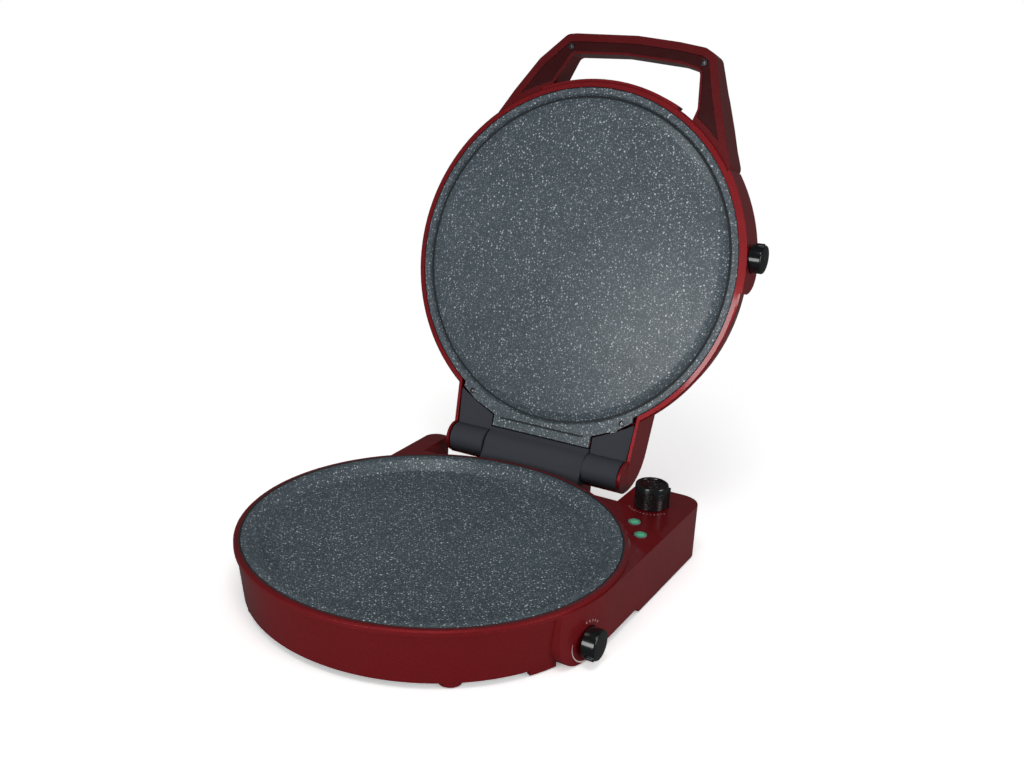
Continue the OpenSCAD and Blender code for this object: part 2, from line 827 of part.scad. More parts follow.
// Housing of the lid with its hinge tongue, drawn shut
module lid_shell_shut() {
  difference() {
    union() {
      difference() {
        lid_outer();
        lid_inner();
        rod_x(-tongue_half + 3, tongue_half - 3, hinge_y, hinge_z, barrel_r + 0.4);
        rod_x(-block_half - 1.2, block_half + 1.2, hinge_y, hinge_z, block_r + 1.8);
      }
      intersection() {
        rod_x(lid_pad_x - 3, lid_side_r + 1, -lid_knob_front, lid_knob_z, knob_r + 2);
        cylinder(h = 200, r = lid_side_r - 0.2);
      }
      arm_posts();
    }
    plate_screw_places_lid() translate([0, 0, lid_ledge_z - 2])
      cylinder(h = 8, r = screw_r + 0.2);
    rod_x(lid_pad_x - 8, lid_side_r + 5, -lid_knob_front, lid_knob_z, 4.8);
    rod_x(lid_pad_x, lid_side_r + 5, -lid_knob_front, lid_knob_z, knob_r + 0.8);
    handle_bolt_places() cylinder(h = 40, r = screw_r + 0.2, center = true);
    arm_screw_places() translate([0, 0, tongue_top - 20]) cylinder(h = 14, r = screw_r + run_gap);
  }
}

module plate_screw_places_lid() {
  for (a = [200, 270, 340]) rotate([0, 0, a]) translate([plate_screw_r, 0, 0]) children();
}

// Screws of the handle: radial, from inside the lid wall into the handle legs
handle_bolt_angles = [-128, -52];
module handle_bolt_places() {
  for (a = handle_bolt_angles) rotate([0, 0, a])
    translate([wall_low_r + 2, 0, lid_z + 20]) rotate([0, 90, 0]) children();
}

module arm_screw_places() {
  for (s = [-1, 1]) for (y = [140, 156]) translate([s * (arm_x + arm_w / 2), y, 0]) children();
}

// Posts under the tongue top that the hinge arms are screwed to
module arm_posts() {
  for (s = [-1, 1]) translate([s * (arm_x + arm_w / 2) - 6, 132, arm_top])
    cube([12, 32, tongue_top - wall_t - arm_top + 0.5]);
}

arm_top = lid_z + 22;

module lid_shell() {
  color("firebrick") lid_place() lid_shell_shut();
}

handle_points = [[-121, -110], [-91, -158], [-69, -189], [-43, -213], [-34, -grip_front],
  [29, -grip_front], [71, -grip_front + 4], [97, -grip_front + 8], [108, -grip_front + 15],
  [116, -170], [132.5, -122], [141, -101], [120, -87], [0, -100]];
opening_points = [[-66, -140], [-34, -grip_front + grip_w], [18, -grip_front + grip_w - 1],
  [75, -grip_front + grip_w + 4], [95, -grip_front + grip_w + 9], [99, -152], [90, -120],
  [0, -130]];

module handle_outline() {
  offset(r = 9, $fn = 32) offset(delta = -9) polygon(handle_points);
}

module handle_opening(grow) {
  offset(r = 7 + grow, $fn = 32) offset(delta = -7) polygon(opening_points);
}

// Side view of the handle: deep legs that thin down to the grip
module handle_side() {
  polygon([
    [-80, lid_z + 1.5], [-grip_front - 2, lid_z + 1.5], [-grip_front - 2, lid_z + grip_depth - 4],
    [-grip_front + 4, lid_z + grip_depth], [-grip_front + grip_w, lid_z + grip_depth + 2],
    [-165, lid_z + handle_depth - 3], [-140, lid_z + handle_depth],
    [-80, lid_z + handle_depth]]);
}

module lid_wall_space(gap) {
  translate([0, 0, lid_z - 1]) cylinder(h = lip_h + 1.8, r = lip_r + gap, $fn = 144);
  translate([0, 0, lid_z + lip_h]) cylinder(h = lid_wall_h - lip_h,
    r1 = wall_top_r + gap, r2 = wall_low_r + 0.5 + gap, $fn = 144);
  translate([0, 0, lid_z + lid_wall_h - 0.1]) cylinder(h = 20, r = wall_low_r + 0.5 + gap, $fn = 144);
}

cover_inset = 7.5;

// Handle moulding, open at the front where its cover goes
module handle() {
  color("firebrick") lid_place() difference() {
    intersection() {
      translate([0, 0, lid_z]) linear_extrude(handle_depth) difference() {
        handle_outline();
        handle_opening(0);
      }
      along_x(-160, 160) handle_side();
    }
    lid_wall_space(seat_gap);
    guard_space();
    rotate([0, 0, -36]) translate([150, -0.1, 0]) cube([60, 60, 200]);
    translate([0, 0, lid_z - 1]) linear_extrude(cover_t + 3.1) cover_plan(seat_gap);
    handle_screw_places() translate([0, 0, lid_z]) cylinder(h = 14, r = screw_r + run_gap);
    handle_bolt_places() cylinder(h = 40, r = screw_r + run_gap, center = true);
  }
}

cover_t = 2.4;

module guard_space() {
  rotate([0, 0, -111.3]) rotate_extrude(angle = 49.6, $fn = 144)
    translate([wall_top_r - 3, lid_z + 0.5]) square([lip_step + 5.3, 11.8]);
}

// Plan of the cover strip on the face of the handle, grown by g
module cover_plan(g) {
  difference() {
    offset(delta = -cover_inset + g) handle_outline();
    handle_opening(2.4 - g);
    circle(r = lip_r + 5 - g, $fn = 144);
  }
}

module handle_screw_places() {
  for (p = [[-37.5, -202], [97, -193]]) translate([p[0], p[1], 0]) children();
}

module handle_cover() {
  color("firebrick") lid_place() difference() {
    translate([0, 0, lid_z + 2]) linear_extrude(cover_t) cover_plan(0);
    handle_screw_places() translate([0, 0, lid_z]) cylinder(h = 8, r = screw_r + 0.2);
    handle_screw_places() translate([0, 0, lid_z]) cylinder(h = 3.2, r = screw_head_r + 0.2);
  }
}

module handle_screws() {
  color("silver") lid_place() {
    handle_screw_places() translate([0, 0, lid_z + 3.2 - screw_head_h + 0.3]) pan_screw(10);
    handle_bolt_places() translate([0, 0, -wall_t - 4]) pan_screw(15);
  }
}

// Plan of the lid plate tongue between the hinge covers
module plate_tongue_plan(g) {
  polygon([[-90 - g, 120], [90 + g, 120], [93 + g, 141 + g], [78 + g, 152 + g],
    [53.5 + g, 162.5 + g], [53.5 + g, hinge_y - 19.4 + g], [-53.5 - g, hinge_y - 19.4 + g],
    [-53.5 - g, 162.5 + g], [-78 - g, 152 + g], [-93 - g, 141 + g]]);
}

// Half section of the lid plate seen from its rim: a raised field inside a groove
lid_proud = 0.5;
lid_field_t = 3;
lid_back = lid_field_t - lid_proud;
module lid_plate_section() {
  g = lid_groove;
  polygon([
    [0, lid_proud], [pan_r - 1, lid_proud], [pan_r + 1, 0], [slope_r - 2.5, -g],
    [slope_r - 0.5, -g], [slope_r + 1, 0], [plate_r - 0.8, 0], [plate_r, -0.8],
    [plate_r, -skirt_h], [plate_r - plate_t, -skirt_h], [plate_r - plate_t, -plate_t],
    [slope_r + 2.5, -plate_t], [slope_r - 0.3, -g - 1.9], [slope_r - 3.6, -g - 1.9],
    [pan_r - 2, -lid_back], [0, -lid_back]]);
}

// Lid plate: field, groove, flat rim, a tongue towards the hinge with a straight groove
module upper_plate() {
  color("slategray") lid_place() difference() {
    union() {
      translate([0, 0, lid_z]) mirror([0, 0, 1]) difference() {
        union() {
          rotate_extrude($fn = 144) lid_plate_section();
          clip_places() for (s = [-1, 1]) translate([s * 12, 0, -lid_back - clip_drop])
            cylinder(h = clip_drop + 0.5, r = 4);
        }
        clip_places() for (s = [-1, 1]) translate([s * 12, 0, -lid_back - clip_drop - 1])
          cylinder(h = 6.5, r = screw_r + run_gap);
      }
      difference() {
        translate([0, 0, lid_z]) linear_extrude(plate_t) plate_tongue_plan(0);
        translate([0, 0, lid_z - 1]) cylinder(h = 10, r = slope_r + 1);
      }
      plate_screw_places_lid() translate([0, 0, lid_z + 1])
        cylinder(h = skirt_h - 1.4, r = plate_boss_r);
    }
    translate([-46, 163.9, lid_z - 1]) cube([92, 1.8, 1.9]);
    tongue_screw_places() translate([0, 0, lid_z - 1]) cylinder(h = 10, r = screw_r + 0.2);
    tongue_screw_places() translate([0, 0, lid_z - 1]) cylinder(h = 2.6, r = screw_head_r + 0.1);
    plate_screw_places_lid() translate([0, 0, lid_z + 2]) cylinder(h = 10, r = screw_r + run_gap);
  }
}

module tongue_screw_places() {
  for (s = [-1, 1]) translate([s * 82.6, 144, 0]) children();
}

module upper_plate_screws() {
  color("silver") lid_place() {
    tongue_screw_places() translate([0, 0, lid_z - 0.1]) pan_screw(9);
    plate_screw_places_lid() translate([0, 0, lid_ledge_z + ledge_t + 0.8 + screw_head_h - 0.3])
      mirror([0, 0, 1]) pan_screw(7);
  }
}

module upper_element() {
  color("darkgray") lid_place() translate([0, 0, lid_z + lid_back])
    mirror([0, 0, 1]) element_ring();
}

module upper_element_clips() {
  color("silver") lid_place() translate([0, 0, lid_z + lid_back])
    mirror([0, 0, 1]) element_straps();
}

module upper_reflector() {
  color("gainsboro") lid_place() translate([0, 0, lid_ledge_z + ledge_t]) difference() {
    mirror([0, 0, 1]) rotate_extrude($fn = 144) dish_section(19, ledge_r - 13);
    plate_screw_places_lid() cylinder(h = 10, r = screw_r + 0.2, center = true);
    for (a = [80, 100]) rotate([0, 0, a]) translate([element_ring_r, 0, 19])
      cylinder(h = 5, r = element_tube_r + 2.5, center = true);
    intersection() {
      translate([0, 0, -5]) linear_extrude(60) tongue_plan(-4);
      translate([-120, 121, -10]) cube([240, 100, 80]);
    }
  }
}

module upper_thermostat() {
  color("tan") lid_place() translate([lid_pad_x - 8.2, -lid_knob_front, lid_knob_z])
    intersection() {
      thermostat_body();
      translate([-14, -40, -7.2]) cube([60, 80, 60]);
    }
}

upper_knob_back = lid_pad_x + move_gap;

module upper_knob() {
  color("black") lid_place() translate([upper_knob_back, -lid_knob_front, lid_knob_z])
    side_knob(205);
}

module upper_knob_shaft() {
  color("silver") lid_place() rod_x(lid_pad_x - 17, upper_knob_back + knob_h - 3.2,
    -lid_knob_front, lid_knob_z, shaft_r);
}

// Hinge cover: a flat panel beside the plate tongue and a hollow barrel around the pin
cover_in = block_half + 1.3;
cover_out = tongue_half - 3.4;
module hinge_cover_shape() {
  difference() {
    union() {
      translate([0, 0, lid_z + 1.2]) linear_extrude(2.4) polygon([
        [cover_in - 0.3, 163.5], [78.6, 153], [95.2, 143.2], [cover_out + 2.6, 150],
        [cover_out, hinge_y - 6], [cover_in - 0.3, hinge_y - 6]]);
      rod_x(cover_in, cover_out, hinge_y, hinge_z, barrel_r);
    }
    rod_x(cover_in + 2, cover_out - 2, hinge_y, hinge_z, barrel_r - 2);
    rod_x(cover_in - 3, arm_x, hinge_y, hinge_z, pin_r + 1);
    intersection() {
      translate([cover_in + 2, hinge_y - 13, hinge_z + 2]) cube([cover_out - cover_in - 4, 26, 30]);
      translate([0, 0, 0]) cube([200, 300, 200]);
    }
  }
}

module hinge_cover_right() {
  color("darkslategray") lid_place() hinge_cover_shape();
}

module hinge_cover_left() {
  color("darkslategray") lid_place() mirror([1, 0, 0]) hinge_cover_shape();
}

// Steel arms that carry the lid: an eye on the pin and a bar screwed to the lid posts
module arm_shape() {
  difference() {
    union() {
      rod_x(arm_x, arm_x + arm_w, hinge_y, hinge_z, 10);
      translate([arm_x, 0, 0]) rotate([90, 0, 90]) linear_extrude(arm_w) polygon([
        [hinge_y - 10, hinge_z], [hinge_y + 10, hinge_z], [hinge_y + 4, arm_top],
        [132, arm_top], [132, arm_top - 5], [hinge_y - 16, arm_top - 5]]);
    }
    rod_x(arm_x - 1, arm_x + arm_w + 1, hinge_y, hinge_z, pin_r + run_gap);
    translate([arm_x + arm_w / 2, 0, 0]) for (y = [140, 156])
      translate([0, y, arm_top - 6]) cylinder(h = 8, r = screw_r + 0.2);
  }
}

module hinge_arms() {
  color("silver") lid_place() {
    arm_shape();
    mirror([1, 0, 0]) arm_shape();
  }
}

module hinge_arm_screws() {
  color("silver") lid_place() arm_screw_places()
    translate([0, 0, arm_top - 5 - screw_head_h + 0.3]) pan_screw(13);
}

module upper_fuse() {
  color("silver") lid_place() translate([0, 0, lid_z + lid_back])
    mirror([0, 0, 1]) {
      translate([20, -9, -6.1]) rotate([0, 90, 0]) cylinder(h = 24, r = 2.4);
      translate([24, -13, -3.7]) cube([16, 8, 3.6]);
    }
}

module lid_wiring() {
  z = lid_ledge_z + ledge_t + 19 + 1.5;
  color("darkred") lid_place() {
    wire([[40, 118, z], [60, 40, z + 1], [lid_pad_x - 33.9, 0, z + 2],
      [lid_pad_x - 16.9, 12.8 - lid_knob_front, z - 9]]);
    wire([[-40, 118, z], [-20, 60, z + 2], [14, element_ring_r - 4, z + 1]]);
  }
}

base_shell();
bottom_cover();
lower_plate();
lower_element();
lower_element_clips();
lower_reflector();
lower_thermostat();
lower_knob();
lower_knob_shaft();
timer_unit();
timer_bell();
timer_knob();
timer_shaft();
lamp_lenses();
neon_lamps();
terminal_block();
thermal_fuse();
cord_gland();
base_wiring();
rubber_feet();
bottom_screws();
lower_plate_screws();
hinge_block();
hinge_pin();
hinge_clips();
hinge_block_screws();
lid_shell();
handle();
handle_cover();
handle_screws();
upper_plate();
upper_element();
upper_element_clips();
upper_reflector();
upper_thermostat();
upper_knob();
upper_knob_shaft();
hinge_cover_left();
hinge_cover_right();
hinge_arms();
hinge_arm_screws();
upper_plate_screws();
upper_fuse();
lid_wiring();
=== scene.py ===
"""Looks for a countertop cooker with a heated pan and a heated, hinged lid."""

import json
import logging
import math
from dataclasses import dataclass, field, replace
from enum import Enum
from typing import Callable, Iterable, Optional, Sequence

import bmesh
import bpy
from mathutils import Matrix, Vector


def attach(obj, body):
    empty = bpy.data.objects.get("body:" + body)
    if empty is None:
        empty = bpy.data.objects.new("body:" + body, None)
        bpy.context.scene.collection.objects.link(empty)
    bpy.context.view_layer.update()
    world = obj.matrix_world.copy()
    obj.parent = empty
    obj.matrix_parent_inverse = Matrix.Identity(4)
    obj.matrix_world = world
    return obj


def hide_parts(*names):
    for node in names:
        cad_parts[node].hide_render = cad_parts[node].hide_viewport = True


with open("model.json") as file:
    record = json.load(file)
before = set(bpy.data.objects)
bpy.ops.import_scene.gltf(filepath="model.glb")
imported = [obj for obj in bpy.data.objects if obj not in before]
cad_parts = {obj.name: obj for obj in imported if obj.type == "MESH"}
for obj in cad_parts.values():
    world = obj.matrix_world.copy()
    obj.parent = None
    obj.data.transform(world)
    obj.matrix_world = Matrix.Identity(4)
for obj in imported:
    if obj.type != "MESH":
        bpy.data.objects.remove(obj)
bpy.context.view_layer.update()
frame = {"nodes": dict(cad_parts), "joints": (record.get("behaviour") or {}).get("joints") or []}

log = logging.getLogger("cooker")
MM = 0.001
Point = tuple[float, float]
Colour = tuple[float, float, float]
JOINTS = {joint["name"]: joint for joint in frame["joints"]}
LID_OPEN = JOINTS["lid_hinge"]["range_deg"][1]
# Heights in millimetres: rim of the lid plate when shut, rim of the pan, rear deck
LID_Z = 57.5
RIM_Z = 55.5
DECK_Z = 52.5
# Radii in millimetres of both plates: inner field and outer rim
FIELD_R = 148.0
PLATE_R = 165.0
# Noise scales per metre, the tint of the slow noise, the stretch of a brushed grain, the turn of
# the cells in radians, and the radius of edges softened by shading
CLOUD_SCALE = 14.0
CLOUD_TINT = 0.86
WEAR_SCALE = 60.0
FLAKE_RELIEF_SCALE = 260.0
BRUSH_STRETCH = (1.0, 1.0, 0.05)
CELL_TURN = (0.7, 0.4, 1.1)
SOFT_EDGE_MM = 0.45
# Speck layers: share of the scale, size in a cell, share left out, weight
SPECK_LAYERS = ((1.0, 0.40, 0.40, 0.42), (0.52, 0.30, 0.50, 0.85), (0.30, 0.22, 0.60, 1.0))
# Limits for merging meshes, in metres, millimetres and degrees
WELD_M = 2e-6
WELD_MM = 0.002
SEAM_MM = 1e-4
SLIVER_M = 1e-6
FLAT_DEG = 0.3
LEVEL_M = 1e-5
TALL_WALL_MM = 8.0
# Half section of a signal dome above the deck, from its middle outwards
LENS_DOME = ((0.0, 1.75), (1.4, 1.66), (2.8, 1.36), (3.8, 0.95))
# Colour sockets of a mix node: two inputs and the output
MIX_A, MIX_B, MIX_OUT = 6, 7, 2


class Space(Enum):
    """The frame in which a piece is drawn."""

    BASE = "base"
    LID = "lid"


class Pattern(Enum):
    """How a finish breaks up its colour."""

    FLAKE = "flake"
    SPECK = "speck"
    GRAIN = "grain"
    BRUSHED = "brushed"


def joint_place(name: str) -> Vector:
    """Place of a joint in millimetres."""
    return Vector(JOINTS[name]["pos_m"]) / MM


def lid_matrix() -> Matrix:
    """Turn of the lid from shut to its open rest.

    Returns:
        The turn, in metres.
    """
    pivot = Vector(JOINTS["lid_hinge"]["pos_m"])
    turn = Matrix.Rotation(math.radians(-LID_OPEN), 4, "X")
    return Matrix.Translation(pivot) @ turn @ Matrix.Translation(-pivot)


class NodeBench:
    """Lays out shader nodes for one material."""

    def __init__(self, name: str) -> None:
        """Start an empty node tree with a Principled shader.

        Args:
            name: the material's name.
        """
        self.material = bpy.data.materials.new(name)
        self.material.use_nodes = True
        self.tree = self.material.node_tree
        self.tree.nodes.clear()
        out = self.tree.nodes.new("ShaderNodeOutputMaterial")
        self.shader = self.tree.nodes.new("ShaderNodeBsdfPrincipled")
        self.link(self.shader.outputs[0], out.inputs[0])
        self.coord = self.tree.nodes.new("ShaderNodeTexCoord").outputs["Object"]
        self.turned = self.mapped((1.0, 1.0, 1.0), CELL_TURN)

    def link(self, a: bpy.types.NodeSocket, b: bpy.types.NodeSocket) -> None:
        """Join two sockets."""
        self.tree.links.new(a, b)

    def put(self, socket: str, value: object) -> None:
        """Set a value on the shader's own socket."""
        self.shader.inputs[socket].default_value = value

    def mapped(self, scale: Sequence[float],
               turn: Sequence[float] = (0.0, 0.0, 0.0)) -> bpy.types.NodeSocket:
        """Object coordinates stretched along the axes and turned.

        Args:
            scale: stretch along X, Y and Z.
            turn: turn about X, Y and Z in radians.

        Returns:
            The vector output.
        """
        node = self.tree.nodes.new("ShaderNodeMapping")
        node.inputs["Scale"].default_value = scale
        node.inputs["Rotation"].default_value = turn
        self.link(self.coord, node.inputs[0])
        return node.outputs[0]

    def noise(self, scale: float, detail: float = 3.0,
              vector: Optional[bpy.types.NodeSocket] = None) -> bpy.types.NodeSocket:
        """Noise of a given scale per metre.

        Args:
            scale: cycles per metre.
            detail: octaves.
            vector: coordinates, Object by default.

        Returns:
            The factor output.
        """
        node = self.tree.nodes.new("ShaderNodeTexNoise")
        node.inputs["Scale"].default_value = scale
        node.inputs["Detail"].default_value = detail
        self.link(vector or self.coord, node.inputs["Vector"])
        return node.outputs[0]

    def cells(self, scale: float, output: str = "Distance") -> bpy.types.NodeSocket:
        """Voronoi cells of a given scale per metre.

        Args:
            scale: cells per metre.
            output: Distance or Color.

        Returns:
            That output.
        """
        node = self.tree.nodes.new("ShaderNodeTexVoronoi")
        node.inputs["Scale"].default_value = scale
        self.link(self.turned, node.inputs["Vector"])
        return node.outputs[output]

    def span(self, value: bpy.types.NodeSocket, low: float, high: float,
             to_low: float = 0.0, to_high: float = 1.0) -> bpy.types.NodeSocket:
        """Map a value from one range to another, clamped.

        Args:
            value: the input.
            low: start of its range.
            high: end of its range.
            to_low: result at low.
            to_high: result at high.

        Returns:
            The mapped value.
        """
        node = self.tree.nodes.new("ShaderNodeMapRange")
        for key, number in zip(("From Min", "From Max", "To Min", "To Max"),
                               (low, high, to_low, to_high)):
            node.inputs[key].default_value = number
        self.link(value, node.inputs[0])
        return node.outputs[0]

    def times(self, a: bpy.types.NodeSocket, b: bpy.types.NodeSocket) -> bpy.types.NodeSocket:
        """Product of two values.

        Args:
            a: one value.
            b: the other value.

        Returns:
            The product.
        """
        node = self.tree.nodes.new("ShaderNodeMath")
        node.operation = "MULTIPLY"
        self.link(a, node.inputs[0])
        self.link(b, node.inputs[1])
        return node.outputs[0]

    def blend(self, factor: bpy.types.NodeSocket, a: object, b: object) -> bpy.types.NodeSocket:
        """Mix two colours.

        Args:
            factor: 0 for a, 1 for b.
            a: colour or socket.
            b: colour or socket.

        Returns:
            The mixed colour.
        """
        node = self.tree.nodes.new("ShaderNodeMix")
        node.data_type = "RGBA"
        self.link(factor, node.inputs[0])
        for socket, value in ((node.inputs[MIX_A], a), (node.inputs[MIX_B], b)):
            if isinstance(value, tuple):
                socket.default_value = (*value, 1.0)
            else:
                self.link(value, socket)
        return node.outputs[MIX_OUT]

    def bump(self, height: bpy.types.NodeSocket, strength: float, depth_mm: float) -> None:
        """Raise the surface by a height value.

        Args:
            height: the relief, 0 to 1.
            strength: its weight.
            depth_mm: how deep it is.
        """
        node = self.tree.nodes.new("ShaderNodeBump")
        node.inputs["Strength"].default_value = strength
        node.inputs["Distance"].default_value = depth_mm * MM
        self.link(height, node.inputs["Height"])
        edge = self.tree.nodes.new("ShaderNodeBevel")
        edge.samples = 4
        edge.inputs["Radius"].default_value = SOFT_EDGE_MM * MM
        self.link(edge.outputs[0], node.inputs["Normal"])
        self.link(node.outputs[0], self.shader.inputs["Normal"])


@dataclass(frozen=True)
class Finish:
    """A surface finish: colours, gloss and the pattern that breaks it up."""

    name: str
    slot: str
    colour: Colour
    second: Colour
    pattern: Pattern
    rough: float
    rough_spread: float = 0.06
    metallic: float = 0.0
    coat: float = 0.0
    coat_rough: float = 0.06
    scale: float = 900.0
    relief: float = 0.15
    depth_mm: float = 0.05
    see_through: float = 0.0

    def material(self) -> bpy.types.Material:
        """Build the node material once and reuse it.

        Returns:
            The material.
        """
        known = bpy.data.materials.get(self.name)
        if known:
            return known
        bench = NodeBench(self.name)
        bench.put("Metallic", self.metallic)
        bench.put("Coat Weight", self.coat)
        bench.put("Coat Roughness", self.coat_rough)
        bench.put("Transmission Weight", self.see_through)
        colour = self._colours(bench, bench.noise(CLOUD_SCALE, 4.0))
        bench.link(colour, bench.shader.inputs["Base Color"])
        rough = bench.span(bench.noise(WEAR_SCALE, 5.0), 0.3, 0.7,
                           self.rough - self.rough_spread, self.rough + self.rough_spread)
        bench.link(rough, bench.shader.inputs["Roughness"])
        self._relief(bench)
        return bench.material

    def _colours(self, bench: NodeBench,
                 clouds: bpy.types.NodeSocket) -> bpy.types.NodeSocket:
        """Colour of the finish.

        Args:
            bench: the node bench.
            clouds: slow noise, 0 to 1.

        Returns:
            The colour socket.
        """
        soft = bench.span(clouds, 0.35, 0.65)
        tint = tuple(channel * CLOUD_TINT for channel in self.colour)
        ground = bench.blend(soft, self.colour, tint)
        if self.pattern is Pattern.SPECK:
            return self._specks(bench, ground)
        if self.pattern is Pattern.FLAKE:
            sparkle = bench.span(bench.cells(self.scale, "Color"), 0.25, 1.0, 0.0, 0.55)
            return bench.blend(sparkle, ground, self.second)
        if self.pattern is Pattern.BRUSHED:
            streak = bench.noise(self.scale, 2.0, bench.mapped(BRUSH_STRETCH))
            return bench.blend(bench.span(streak, 0.3, 0.7), ground, self.second)
        grain = bench.noise(self.scale, 4.0)
        return bench.blend(bench.span(grain, 0.35, 0.75, 0.0, 0.6), ground, self.second)

    def _specks(self, bench: NodeBench, ground: bpy.types.NodeSocket) -> bpy.types.NodeSocket:
        """Pale specks of several sizes on a dark ground.

        Args:
            bench: the node bench.
            ground: colour below the specks.

        Returns:
            The colour socket.
        """
        colour = ground
        for share, size, few, weight in SPECK_LAYERS:
            scale = self.scale * share
            dot = bench.span(bench.cells(scale), size * 0.6, size, 1.0, 0.0)
            pick = bench.span(bench.cells(scale, "Color"), few, few + 0.05, 0.0, weight)
            colour = bench.blend(bench.times(dot, pick), colour, self.second)
        return colour

    def _relief(self, bench: NodeBench) -> None:
        """Fine relief of the finish, with softened edges.

        Args:
            bench: the node bench.
        """
        if self.pattern is Pattern.BRUSHED:
            height = bench.noise(self.scale, 2.0, bench.mapped(BRUSH_STRETCH))
        elif self.pattern is Pattern.FLAKE:
            height = bench.noise(FLAKE_RELIEF_SCALE, 2.0)
        else:
            height = bench.noise(self.scale * 0.7, 4.0)
        bench.bump(height, self.relief, self.depth_mm)


RED = Finish("candy_red", "red_gloss", (0.250, 0.0048, 0.0085), (0.52, 0.019, 0.029),
             Pattern.FLAKE, 0.43, 0.03, metallic=0.60, coat=0.8, coat_rough=0.05, scale=2600.0,
             relief=0.03, depth_mm=0.02)
# Darker copy of the candy red for the handle: painted shade, for the dark reflections its face
# shows under the studio light
HANDLE_PAINTED_SHADE_RED = replace(RED, name="handle_painted_shade_red", colour=(0.150, 0.0038, 0.0065),
                   second=(0.32, 0.012, 0.019), rough=0.36, metallic=0.50)
# Still darker copy of the candy red for the handle cover: painted shade as well
COVER_PAINTED_SHADE_RED = replace(RED, name="cover_painted_shade_red", colour=(0.050, 0.0022, 0.0035),
                   second=(0.11, 0.006, 0.009), rough=0.30, metallic=0.35)
PLATE = Finish("stone_coating", "plate_coating", (0.066, 0.092, 0.110), (0.56, 0.62, 0.66),
               Pattern.SPECK, 0.44, 0.05, coat=0.2, coat_rough=0.3, scale=760.0, relief=0.10,
               depth_mm=0.03)
# Painted shade: a dark finish laid in the lid plate's grooves where their shadow falls
SHADE = Finish("painted_groove_shade", "plate_coating", (0.012, 0.017, 0.021), (0.030, 0.038, 0.045),
               Pattern.GRAIN, 0.6, scale=900.0, relief=0.1)
SLATE = Finish("slate_plastic", "slate_plastic", (0.014, 0.045, 0.062), (0.022, 0.064, 0.088),
               Pattern.GRAIN, 0.34, scale=1500.0, relief=0.2, depth_mm=0.03)
BLACK = Finish("matt_black", "black_plastic", (0.022, 0.022, 0.024), (0.04, 0.04, 0.042),
               Pattern.GRAIN, 0.58, scale=1300.0, relief=0.3)
GLOSS = Finish("gloss_black", "knob_black", (0.0035, 0.005, 0.0055), (0.009, 0.011, 0.012),
               Pattern.GRAIN, 0.22, 0.05, coat=0.4, scale=1100.0, relief=0.05, depth_mm=0.02)
LENS = Finish("green_lens", "green_lens", (0.003, 0.080, 0.055), (0.01, 0.15, 0.105),
              Pattern.GRAIN, 0.2, coat=0.5, scale=500.0, relief=0.05, see_through=0.1)
RIM = Finish("lens_rim", "green_lens", (0.08, 0.27, 0.21), (0.14, 0.36, 0.29),
             Pattern.GRAIN, 0.3, scale=700.0, relief=0.05)
ZINC = Finish("zinc_steel", "plated_steel", (0.55, 0.55, 0.54), (0.70, 0.70, 0.70),
              Pattern.BRUSHED, 0.34, metallic=1.0, scale=1800.0, relief=0.1)
DARK_STEEL = Finish("dark_screw", "plated_steel", (0.05, 0.05, 0.055), (0.09, 0.09, 0.10),
                    Pattern.BRUSHED, 0.40, metallic=0.8, scale=1800.0, relief=0.1)
SHEATH = Finish("element_sheath", "element_steel", (0.30, 0.28, 0.26), (0.42, 0.39, 0.35),
                Pattern.BRUSHED, 0.45, metallic=0.9, scale=900.0, relief=0.2)
SHEET = Finish("bright_sheet", "sheet_aluminium", (0.68, 0.68, 0.70), (0.78, 0.78, 0.80),
               Pattern.BRUSHED, 0.28, metallic=1.0, scale=700.0, relief=0.1)
CREAM = Finish("cream_ceramic", "ceramic_body", (0.66, 0.60, 0.49), (0.74, 0.69, 0.60),
               Pattern.GRAIN, 0.55, scale=900.0, relief=0.2)
NEON = Finish("neon_tube", "neon_glass", (0.75, 0.45, 0.26), (0.85, 0.60, 0.40),
              Pattern.GRAIN, 0.12, scale=300.0, relief=0.02, see_through=0.6)
WIRE = Finish("wire_sleeve", "wire_sleeve", (0.33, 0.035, 0.025), (0.42, 0.06, 0.045),
              Pattern.GRAIN, 0.5, scale=2000.0, relief=0.2)
RUBBER = Finish("grey_rubber", "rubber_grey", (0.055, 0.055, 0.055), (0.085, 0.085, 0.085),
                Pattern.GRAIN, 0.75, scale=1500.0, relief=0.35, depth_mm=0.06)
PRINT = Finish("pale_print", "red_gloss", (0.62, 0.50, 0.50), (0.74, 0.62, 0.62),
               Pattern.GRAIN, 0.5, scale=1500.0, relief=0.02)


